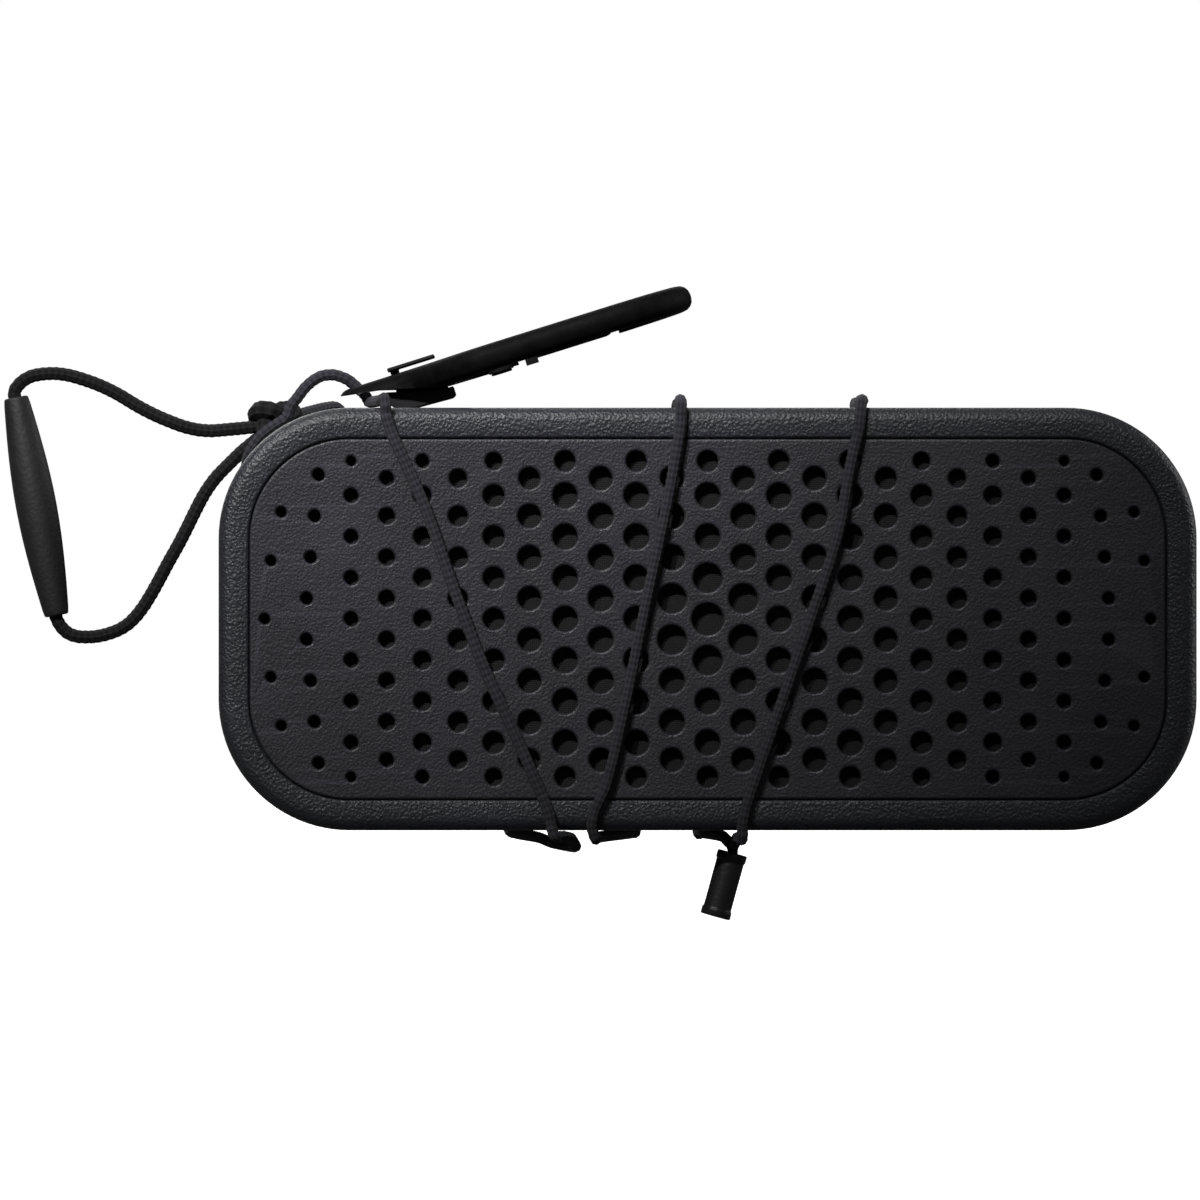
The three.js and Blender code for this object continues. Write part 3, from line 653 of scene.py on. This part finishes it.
def box(x0, x1, y0, y1, z0, z1):
    return prism([(x0, y0), (x1, y0), (x1, y1), (x0, y1)], z0, z1)


def combined(mesh, operation, *tools):
    """The mesh with other solids cut from it or joined to it."""
    holder = bpy.data.objects.new("holder", mesh)
    bpy.context.scene.collection.objects.link(holder)
    helpers = []
    for tool in tools:
        helper = bpy.data.objects.new("helper", tool)
        bpy.context.scene.collection.objects.link(helper)
        helpers.append(helper)
        step = holder.modifiers.new("combine", "BOOLEAN")
        step.operation = operation
        step.solver = "EXACT"
        step.object = helper
    result = baked(holder)
    for helper in helpers:
        bpy.data.objects.remove(helper)
    if not result.polygons:
        raise RuntimeError(f"nothing is left of {mesh.name}")
    return finished(result)


def millimetres(points):
    return [tuple(value * MM for value in point) for point in points]


def rounded_loop(half_width, half_height, radius, centre, y):
    """Points round a rounded rectangle in the XZ plane."""
    corners = [(1, -1, -0.5), (1, 1, 0.0), (-1, 1, 0.5), (-1, -1, 1.0)]
    points = []
    for side, up, start in corners:
        for i in range(CORNER_STEPS + 1):
            angle = math.pi * (start + 0.5 * i / CORNER_STEPS)
            x = centre.x + side * (half_width - radius) + radius * math.cos(angle)
            z = centre.z + up * (half_height - radius) + radius * math.sin(angle)
            points.append(Vector((x, y, z)))
    return points


def swept_ring(name, node, profile):
    """A closed ring round the body: each profile point is an inset from the outline and a place along Y."""
    centre = middle(node)
    low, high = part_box(node)
    half_width = (high[0] - low[0]) / 2
    half_height = (high[2] - low[2]) / 2
    loops = [
        rounded_loop(half_width - inset, half_height - inset, CORNER_RADIUS - inset, centre, y)
        for inset, y in profile
    ]
    points = [point for loop in loops for point in loop]
    size = len(loops[0])
    faces = []
    for i in range(len(loops)):
        after = (i + 1) % len(loops)
        for j in range(size):
            k = (j + 1) % size
            faces.append((i * size + j, i * size + k, after * size + k, after * size + j))
    return mesh_from(name, points, faces)


# ---- body ---------------------------------------------------------------------------------------
def bumper_profile(depth, lip):
    """Insets and depths from the rounded outer edge, over the face and into the opening, to the far side."""
    edge = BODY_EDGE_ROUND
    return [
        *[(edge - across, edge - along) for across, along in arc(0, 0, edge, 0, math.pi / 2, 7)],
        *[(RIM_WIDTH - lip + across, lip - along) for along, across in arc(0, 0, lip, 0, math.pi / 2, 4)],
        (RIM_WIDTH, depth - BACK_CHAMFER),
        (RIM_WIDTH - BACK_CHAMFER, depth),
        (BACK_ROUND, depth),
        (BACK_ROUND_MIDDLE, depth - BACK_ROUND_MIDDLE),
        (0, depth - BACK_ROUND),
    ]


def add_bumpers():
    for node, face, lip in (("front_bezel", -1, FRONT_LIP), ("rear_bumper", 1, REAR_LIP)):
        low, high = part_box(node)
        outer = low[1] if face < 0 else high[1]
        profile = [(inset, outer - face * depth) for inset, depth in bumper_profile(high[1] - low[1], lip)]
        new_piece(
            node + "_look",
            swept_ring(node + "_look", node, profile),
            body_of(node),
            "bumper_rubber",
            node,
        )


def hole_diameter(column, outermost, from_centre):
    """The holes shrink away from the middle, and more in the outermost row."""
    if from_centre < 1 * MM:
        return CENTRE_HOLE
    if from_centre < 1.2 * ROW_PITCH:
        return NEXT_HOLE
    diameter = COMMON_HOLE - SHRINK_PER_COLUMN * max(0, abs(column) - SHRINK_FROM_COLUMN)
    return diameter - OUTER_ROW_SHRINK[column % 2] if outermost else diameter


def grille_holes():
    """The middle and the diameter of each hole: the straight columns, then the bowed ones at the ends."""
    holes = []
    for column in range(-LAST_STRAIGHT_COLUMN, LAST_STRAIGHT_COLUMN + 1):
        half = 0 if column % 2 == 0 else 0.5
        rows = [row + half for row in range(-4, 5) if row + half <= 4]
        for row in rows:
            distance = abs(row) * ROW_PITCH
            straight = min(distance, FULL_ROWS_HEIGHT)
            z = math.copysign(straight + (distance - straight) * OUTER_ROW_PITCH / ROW_PITCH, row)
            x = column * COLUMN_PITCH
            holes.append((x, z, hole_diameter(column, abs(row) > 3, math.hypot(x, z))))
    for side in (-1, 1):
        for up in (-1, 1):
            for row in (0.5, 1.5, 2.5, 3.5):
                x = side * (BOWED_COLUMN_X - BOW_PER_ROW * row)
                holes.append((x, up * row * ROW_PITCH, BOWED_COLUMN_HOLE))
            holes += [(side * x, up * z, LAST_HOLE) for x, z in LAST_HOLES]
        holes.append((side * MIDDLE_LAST_HOLE_X, 0, LAST_HOLE))
    return holes


def add_grille():
    """The perforated front, with every hole's rim rounded."""
    low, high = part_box("front_grille")
    half_width, half_height = (high[0] - low[0]) / 2, (high[2] - low[2]) / 2
    radius = CORNER_RADIUS - RIM_WIDTH - GROOVE_WIDTH
    widened = GROOVE_WIDTH - GROOVE_LINE
    loop = rounded_loop(half_width + widened, half_height + widened, radius + widened, Vector(), 0)
    loops = [[(p.x, p.z) for p in loop]]
    for x, z, diameter in grille_holes():
        loops.append(arc(x, z, diameter / 2, 0, 2 * math.pi, HOLE_STEPS)[:-1])
    depth = high[1] - low[1]
    mesh = drawn_slab("front_grille_look", loops, -depth / 2, depth / 2, HOLE_ROUNDING)
    mesh.transform(Matrix.Translation(middle("front_grille")) @ Matrix.Rotation(math.pi / 2, 4, "X"))
    piece = new_piece(
        "front_grille_look", finished(mesh), body_of("front_grille"), "grille_rubber", "front_grille"
    )
    keep_flat(piece)


# ---- cords --------------------------------------------------------------------------------------
def farthest_vertex(start):
    seen, ring, last = {start}, [start], start
    while ring:
        last = ring[0]
        ring = sorted({e.other_vert(v) for v in ring for e in v.link_edges} - seen, key=lambda v: v.index)
        seen.update(ring)
    return last


def centreline(node, near):
    """The points along the middle of a CAD cord, from the end that is closer to near."""
    work = bmesh.new()
    work.from_mesh(frame["nodes"][node].data)
    bmesh.ops.remove_doubles(work, verts=work.verts, dist=0.002 * MM)
    work.verts.index_update()
    work.verts.ensure_lookup_table()
    one_end = farthest_vertex(work.verts[0])
    other_end = farthest_vertex(one_end)
    start = min((one_end, other_end), key=lambda v: (v.co - near).length)
    by_distance = sorted(work.verts, key=lambda v: (v.co - start.co).length)
    ring = by_distance[:CORD_RING_SIZE]
    seen = set(ring)
    centres = []
    while ring:
        centres.append(sum((v.co for v in ring), Vector()) / len(ring))
        ring = sorted({e.other_vert(v) for v in ring for e in v.link_edges} - seen, key=lambda v: v.index)
        seen.update(ring)
    work.free()
    return centres


def smooth_path(points, step):
    """The points joined by a Catmull-Rom curve and spaced evenly, a step apart."""
    padded = [2 * points[0] - points[1], *points, 2 * points[-1] - points[-2]]
    fine = []
    for before, start, end, after in zip(padded, padded[1:], padded[2:], padded[3:]):
        pieces = max(2, round((end - start).length / (0.5 * step)))
        for i in range(pieces):
            t = i / pieces
            fine.append(
                0.5
                * (
                    2 * start
                    + (end - before) * t
                    + (2 * before - 5 * start + 4 * end - after) * t * t
                    + (3 * start - before - 3 * end + after) * t * t * t
                )
            )
    fine.append(points[-1].copy())
    even, carried = [fine[0]], 0.0
    for start, end in zip(fine, fine[1:]):
        carried += (end - start).length
        if carried >= step:
            even.append(end)
            carried = 0.0
    return even


def body_distance(point):
    """How far a point is from the body's rounded surface."""
    half = (BODY_HIGH - BODY_LOW) / 2
    away = point - (BODY_HIGH + BODY_LOW) / 2
    x = abs(away.x) - half.x + CORNER_RADIUS
    z = abs(away.z) - half.z + CORNER_RADIUS
    across = math.hypot(max(x, 0), max(z, 0)) + min(max(x, z), 0) - CORNER_RADIUS + BODY_EDGE_ROUND
    along = abs(away.y) - half.y + BODY_EDGE_ROUND
    return math.hypot(max(across, 0), max(along, 0)) + min(max(across, along), 0) - BODY_EDGE_ROUND


def settled(path, radius):
    """Draws the taut parts of a cord down until it rests on the body. Loose loops stay as they are."""
    rest = radius + CORD_REST
    nudge = 0.02 * MM
    result = []
    for point in path:
        distance = body_distance(point)
        if not rest < distance < LOOSE_ABOVE:
            result.append(point)
            continue
        slope = Vector(
            body_distance(point + nudge * step) - distance
            for step in (Vector((1, 0, 0)), Vector((0, 1, 0)), Vector((0, 0, 1)))
        )
        looseness = min(max((distance - TIGHT_BELOW) / (LOOSE_ABOVE - TIGHT_BELOW), 0), 1)
        wanted = rest + (distance - rest) * looseness * looseness * (3 - 2 * looseness)
        result.append(point + slope.normalized() * (wanted - distance))
    return result


def braided_tube(name, path, radius, closed=False):
    """A tube whose surface rises and falls like a round braid."""
    count = len(path)
    tangents = []
    for i in range(count):
        before = path[(i - 1) % count] if closed or i else path[0]
        after = path[(i + 1) % count] if closed or i < count - 1 else path[-1]
        tangents.append((after - before).normalized())
    side = tangents[0].orthogonal().normalized()
    points, ridges, along = [], [], 0.0
    for i, (centre, tangent) in enumerate(zip(path, tangents)):
        side = (side - tangent * side.dot(tangent)).normalized()
        up = tangent.cross(side)
        if i:
            along += (centre - path[i - 1]).length
        for j in range(CORD_SIDES):
            angle = 2 * math.pi * j / CORD_SIDES
            lay = 2 * math.pi * along / BRAID_PITCH
            crossing = math.cos(BRAID_STRANDS * angle + 2 * lay) * math.cos(BRAID_STRANDS * angle - 2 * lay)
            ridges.append((1 + crossing) / 2)
            reach = radius * (1 - BRAID_RELIEF * (1 - ridges[-1]))
            points.append(centre + reach * (side * math.cos(angle) + up * math.sin(angle)))
    faces = []
    for i in range(count if closed else count - 1):
        for j in range(CORD_SIDES):
            k = (j + 1) % CORD_SIDES
            a, b = i * CORD_SIDES, ((i + 1) % count) * CORD_SIDES
            faces.append((a + j, a + k, b + k, b + j))
    if not closed:
        faces.append(tuple(range(CORD_SIDES)))
        faces.append(tuple((count - 1) * CORD_SIDES + j for j in range(CORD_SIDES)))
    mesh = mesh_from(name, points, faces)
    # The ridge value also sets the braid material's painted shade between the strands and its painted
    # highlight on their tops.
    mesh.attributes.new("ridge", "FLOAT", "POINT").data.foreach_set("value", ridges)
    return mesh


def add_elastic():
    """The long cord, and the two short tails that lead its ends into the stopper."""
    mouth = Vector(joint_named("stopper_swing")["pos_m"])
    rough_path = smooth_path(centreline("elastic_cord", middle("cord_stopper")), ELASTIC_POINT_STEP)
    path = smooth_path(settled(rough_path, ELASTIC_RADIUS), CORD_STEP)
    mesh = braided_tube("elastic_cord_look", path[TAIL_STEPS:-TAIL_STEPS], ELASTIC_RADIUS)
    new_piece("elastic_cord_look", mesh, body_of("elastic_cord"), "elastic_braid", "elastic_cord")

    into = (middle("cord_stopper") - mouth).normalized()
    for i, (side, run) in enumerate(((-1, path), (1, path[::-1]))):
        beside = mouth + side * TAIL_APART * Vector((0, 1, 0))
        points = [run[2 * TAIL_STEPS], run[TAIL_STEPS], run[0], beside, beside + TAIL_DEPTH * into]
        tail = braided_tube(f"elastic_tail_{i + 1}", smooth_path(points, CORD_STEP), TAIL_RADIUS)
        piece = new_piece(f"elastic_tail_{i + 1}", tail, None, "elastic_braid")
        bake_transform(piece)


def knot_centre():
    low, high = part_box("wrist_knot")
    return Vector(((low[0] + high[0]) / 2, (low[1] + high[1]) / 2, high[2] - KNOT_DROP))


def add_wrist_cord():
    near = knot_centre()
    path = smooth_path(centreline("wrist_cord", near), CORD_STEP)
    into_knot = [near.lerp(path[0], share) for share in (0.4, 0.7)]
    out_of_knot = [path[-1].lerp(near, share) for share in (0.3, 0.6)]
    whole = smooth_path([*into_knot, *path[::4], path[-1], *out_of_knot], CORD_STEP)
    mesh = braided_tube("wrist_cord_look", whole, WRIST_RADIUS)
    new_piece("wrist_cord_look", mesh, body_of("wrist_cord"), "cord_braid", "wrist_cord")


def add_wrist_knot():
    """An overhand knot pulled tight, and the ring that ties it round the post."""
    centre = knot_centre()
    turns = [2 * math.pi * i / KNOT_STEPS for i in range(KNOT_STEPS)]
    reach = [half - KNOT_CORD_RADIUS for half in KNOT_HALF]
    tangle = [
        centre
        + Vector(
            (
                reach[0] * (math.sin(t) + 2 * math.sin(2 * t)) / TREFOIL_ACROSS,
                -reach[1] * math.sin(3 * t),
                reach[2] * (math.cos(t) - 2 * math.cos(2 * t) + TREFOIL_MIDDLE) / TREFOIL_UP,
            )
        )
        for t in turns
    ]
    knot = braided_tube("wrist_knot_look", tangle, KNOT_CORD_RADIUS, closed=True)
    post = middle("lanyard_post")
    tie = [post + TIE_RADIUS * Vector((math.cos(t), 0, math.sin(t))) for t in turns]
    loop = braided_tube("tie", tie, TIE_CORD_RADIUS, closed=True)
    both = bmesh.new()
    both.from_mesh(knot)
    both.from_mesh(loop)
    both.to_mesh(knot)
    both.free()
    new_piece("wrist_knot_look", knot, body_of("wrist_knot"), "cord_braid", "wrist_knot")


# ---- turned pieces ------------------------------------------------------------------------------
def turned(name, profile, start, axis):
    """A profile of radii and distances from start, closed on itself or on the axis, turned about the axis."""
    steps = TURNED_SIDES
    side = axis.orthogonal().normalized()
    up = axis.cross(side)
    points, faces = [], []
    for radius, along in profile:
        for j in range(steps):
            angle = 2 * math.pi * j / steps
            points.append(start + along * axis + radius * (math.cos(angle) * side + math.sin(angle) * up))
    rows = len(profile)
    bands = rows - 1 if profile[0][0] == 0 else rows
    for i in range(bands):
        after = (i + 1) % rows
        for j in range(steps):
            k = (j + 1) % steps
            faces.append((i * steps + j, i * steps + k, after * steps + k, after * steps + j))
    return finished(mesh_from(name, points, faces))


def add_grip():
    """The moulded grip: a smooth spindle with rounded ends and a bore for the cord."""
    centre = middle("wrist_grip")
    axis = Vector((math.sin(GRIP_LEAN), 0, -math.cos(GRIP_LEAN)))
    rim = [(GRIP_BORE, 0), *arc(GRIP_END - GRIP_EDGE, GRIP_EDGE, GRIP_EDGE, -math.pi / 2, 0, 4)]
    swell = [
        (GRIP_END + (GRIP_MIDDLE - GRIP_END) * math.sin(math.pi * share), share * GRIP_LENGTH)
        for share in (step / GRIP_STEPS for step in range(1, GRIP_STEPS))
    ]
    far_rim = [(radius, GRIP_LENGTH - along) for radius, along in reversed(rim)]
    profile = [*rim, *swell, *far_rim]
    start = centre - axis * GRIP_LENGTH / 2
    mesh = turned("wrist_grip_look", profile, start, axis)
    new_piece("wrist_grip_look", mesh, body_of("wrist_grip"), "grip_rubber", "wrist_grip")


def add_stopper():
    """The barrel stopper, with a collar at each end and a recess that the cord goes into."""
    mouth = Vector(joint_named("stopper_swing")["pos_m"])
    into = (middle("cord_stopper") - mouth).normalized()
    recess = [(0, STOPPER_RECESS), (STOPPER_MOUTH, STOPPER_RECESS), (STOPPER_MOUTH, 0)]
    collar = [
        (STOPPER_RADIUS - 0.1, 0),
        (STOPPER_RADIUS, 0.2),
        (STOPPER_RADIUS, STOPPER_COLLAR),
        (STOPPER_WAIST, STOPPER_COLLAR + 0.3),
    ]
    far_collar = [(radius, STOPPER_LENGTH - along) for radius, along in reversed(collar)]
    outline = [*recess, *collar, *far_collar, (0, STOPPER_LENGTH)]
    mesh = turned("cord_stopper_look", millimetres(outline), mouth, into)
    body = body_of("cord_stopper")
    piece = new_piece("cord_stopper_look", mesh, body, "stopper_plastic", "cord_stopper")
    round_edges(piece, 0.12 * MM)


# ---- carabiner ----------------------------------------------------------------------------------
def carabiner_axes():
    """The place and tilt of the carabiner, taken from its gate's hinge."""
    hinge = joint_named("gate_hinge")
    w = -Vector(hinge["axis"]).normalized()
    v = Vector((0, 1, 0))
    u = v.cross(w)
    place = Matrix((u, v, w)).transposed().to_4x4()
    pivot_u, pivot_v = millimetres([GATE_PIVOT])[0]
    place.translation = Vector(hinge["pos_m"]) - pivot_u * u - pivot_v * v
    return place


def carabiner_loops():
    """The outline with its narrow eye end, and the opening inside the bow."""
    shoulder = bezier((8, -7.2), (16, -8), (18, -BOW_OUTER), (28, -BOW_OUTER))
    nose = bezier((-2.4, 2), (-2.4, 4.2), (-1.4, 5.5), (0, 5.6), 8)
    outer = [
        *shoulder,
        *arc(ROUND_END_U, 0, BOW_OUTER, -math.pi / 2, math.pi / 2, 40),
        *[(x, -y) for x, y in reversed(shoulder)],
        *reversed(nose),
        *[(x, -y) for x, y in nose],
    ]
    inner = [
        *arc(ROUND_END_U, 0, BOW_INNER, -math.pi / 2, math.pi / 2, 32),
        *bezier((26, BOW_INNER), (20, BOW_INNER), (20, -BOW_INNER), (26, -BOW_INNER), 24),
    ]
    return [millimetres(outer), millimetres(inner)]


def raised(outline, span):
    """A prism over an outline, both given in millimetres."""
    low, high = span
    return prism(millimetres(outline), low * MM, high * MM)


def pivot_disc(radius, span):
    """A disc round the gate's pivot, over a span of w."""
    return raised(arc(*GATE_PIVOT, radius, 0, 2 * math.pi)[:-1], span)


def block(sides):
    return box(*[side * MM for side in sides])


def finish_carabiner_part(name, mesh, edge):
    mesh.transform(carabiner_axes())
    piece = new_piece(name + "_look", mesh, body_of(name), "carabiner_coat", name)
    round_edges(piece, edge)


def add_carabiner_frame():
    low, high = [w * MM for w in BAR_W]
    bar = drawn_slab("carabiner_frame_look", carabiner_loops(), low, high, BAR_ROUNDING)
    taper = [(-9, 0.2), (-2, 0.2), (5, -0.8), (16, -3.9), (16, -9), (-9, -9)]
    keeper_groove = [(10, -1.1), (18.1, -3), (18.1, -9), (10, -9)]
    seated = combined(bar, "UNION", pivot_disc(SEAT_RADIUS, SEAT_W))
    mesh = combined(
        seated,
        "DIFFERENCE",
        edgewise(raised(taper, ACROSS)),
        edgewise(raised(keeper_groove, KEEPER_GROOVE_V)),
        raised(rounded_rectangle(*EYE_SLOT), THROUGH),
        block(GATE_SPACE),
        block(FORK_SPACE),
        pivot_disc(RIVET_HOLE, THROUGH),
    )
    finish_carabiner_part("carabiner_frame", mesh, 0.25 * MM)


def add_carabiner_gate():
    low, high = [w * MM for w in GATE_BAR_W]
    outline = millimetres(rounded_rectangle(*GATE_BAR))
    bar = drawn_slab("carabiner_gate_look", [outline], low, high, GATE_ROUNDING)
    tongue = pivot_disc(TONGUE_RADIUS, TONGUE_W)
    solid = combined(bar, "UNION", tongue, block(GATE_WEB), block(THUMB_RIB))
    mesh = combined(solid, "DIFFERENCE", pivot_disc(RIVET_HOLE, THROUGH))
    finish_carabiner_part("carabiner_gate", mesh, 0.2 * MM)


# ---- pieces that keep their CAD shape -----------------------------------------------------------
# How far their edges are rounded, in millimetres.
COMMON_EDGE = 0.12
SPECIAL_EDGES = {
    "rear_shell": 0.3,
    "rear_foot_left": 0.3,
    "rear_foot_right": 0.3,
    "port_door": 0.25,
    "carabiner_keeper": 0.3,
    "main_gasket": 0.1,
    "acoustic_mesh": 0.0,
}
REBUILT = {
    "front_bezel", "rear_bumper", "front_grille", "elastic_cord", "wrist_cord", "wrist_knot",
    "wrist_grip", "cord_stopper", "carabiner_frame", "carabiner_gate",
}


def add_refined_nodes():
    for node in sorted(frame["nodes"]):
        if node not in REBUILT:
            refined(node, SPECIAL_EDGES.get(node, COMMON_EDGE) * MM)


# ---- studio -------------------------------------------------------------------------------------
def add_floor():
    """A white paper floor. It glows a little, but only to the camera, so that it reads as plain white."""
    low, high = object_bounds()
    bpy.ops.mesh.primitive_plane_add(size=60, location=((low.x + high.x) / 2, (low.y + high.y) / 2, low.z))
    floor = bpy.context.object
    floor.name = "floor"
    surface = Surface("floor_paper", 0.9)
    grain = surface.noise(40, 4)
    seen = surface.node("ShaderNodeLightPath").outputs["Is Camera Ray"]
    shade = surface.node("ShaderNodeMix", data_type="RGBA")
    surface.link(seen, shade.inputs[0])
    shade.inputs[6].default_value = (0.12, 0.12, 0.12, 1)
    surface.link(surface.ramp(grain, (0.78, 0.78, 0.78), (0.82, 0.82, 0.82)), shade.inputs[7])
    surface.color(shade.outputs[2])
    away = surface.node("ShaderNodeVectorMath", operation="LENGTH")
    surface.link(surface.place, away.inputs[0])
    glow = surface.node("ShaderNodeMath", operation="MULTIPLY")
    surface.link(seen, glow.inputs[0])
    surface.link(surface.spread(away.outputs["Value"], 0.95, 1, 0.3, 1.2), glow.inputs[1])
    surface.shader.inputs["Emission Color"].default_value = (1, 1, 1, 1)
    surface.link(glow.outputs[0], surface.shader.inputs["Emission Strength"])
    floor.data.materials.append(surface.material)


def add_lamp(name, light, place, aim):
    centre = middle("front_bezel")
    lamp = bpy.data.objects.new(name, light)
    lamp.location = centre + Vector(place)
    lamp.rotation_euler = (centre + Vector(aim) - lamp.location).to_track_quat("-Z", "Y").to_euler()
    bpy.context.scene.collection.objects.link(lamp)


def add_spot(name, place, aim, cone_degrees, power):
    """A soft-edged pool of light, brightest where it is aimed."""
    light = bpy.data.lights.new(name, "SPOT")
    light.spot_size = math.radians(cone_degrees)
    light.spot_blend = 1
    light.shadow_soft_size = 0.05
    light.energy = power
    add_lamp(name, light, place, aim)


def add_softbox(name, place, size, power):
    """A broad lamp, aimed at the middle."""
    light = bpy.data.lights.new(name, "AREA")
    light.shape = "RECTANGLE"
    light.size, light.size_y = size
    light.energy = power
    add_lamp(name, light, place, (0, 0, 0))


def add_world():
    """White to the camera, and a dim, even fill to everything else."""
    world = bpy.data.worlds.new("studio")
    bpy.context.scene.world = world
    world.use_nodes = True
    tree = world.node_tree
    fill = tree.nodes["Background"]
    fill.inputs["Color"].default_value = (0.93, 0.96, 1, 1)
    fill.inputs["Strength"].default_value = 0.05
    seen = tree.nodes.new("ShaderNodeBackground")
    seen.inputs["Color"].default_value = (1, 1, 1, 1)
    seen.inputs["Strength"].default_value = 1.0
    rays = tree.nodes.new("ShaderNodeLightPath")
    mix = tree.nodes.new("ShaderNodeMixShader")
    tree.links.new(rays.outputs["Is Camera Ray"], mix.inputs["Fac"])
    tree.links.new(fill.outputs["Background"], mix.inputs[1])
    tree.links.new(seen.outputs["Background"], mix.inputs[2])
    tree.links.new(mix.outputs["Shader"], tree.nodes["World Output"].inputs["Surface"])


def add_camera():
    body = middle("front_bezel")
    low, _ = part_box("front_bezel")
    target = Vector((body.x - LOOK_LEFT, low[1], body.z + LOOK_UP))
    lens = bpy.data.cameras.new("camera")
    lens.lens = CAMERA_DISTANCE / PICTURE_WIDTH * lens.sensor_width
    camera = bpy.data.objects.new("camera", lens)
    camera.location = target - Vector((0, CAMERA_DISTANCE, 0))
    camera.rotation_euler = (math.pi / 2, 0, 0)
    bpy.context.scene.collection.objects.link(camera)
    bpy.context.scene.camera = camera


def add_studio():
    add_floor()
    add_world()
    for name, settings in SPOTS.items():
        add_spot(name, **settings)
    for name, settings in SOFTBOXES.items():
        add_softbox(name, **settings)
    add_camera()
    bpy.context.scene.view_settings.view_transform = "Standard"


add_bumpers()
add_grille()
add_elastic()
add_wrist_cord()
add_wrist_knot()
add_grip()
add_stopper()
add_carabiner_frame()
add_carabiner_gate()
add_refined_nodes()
add_studio()
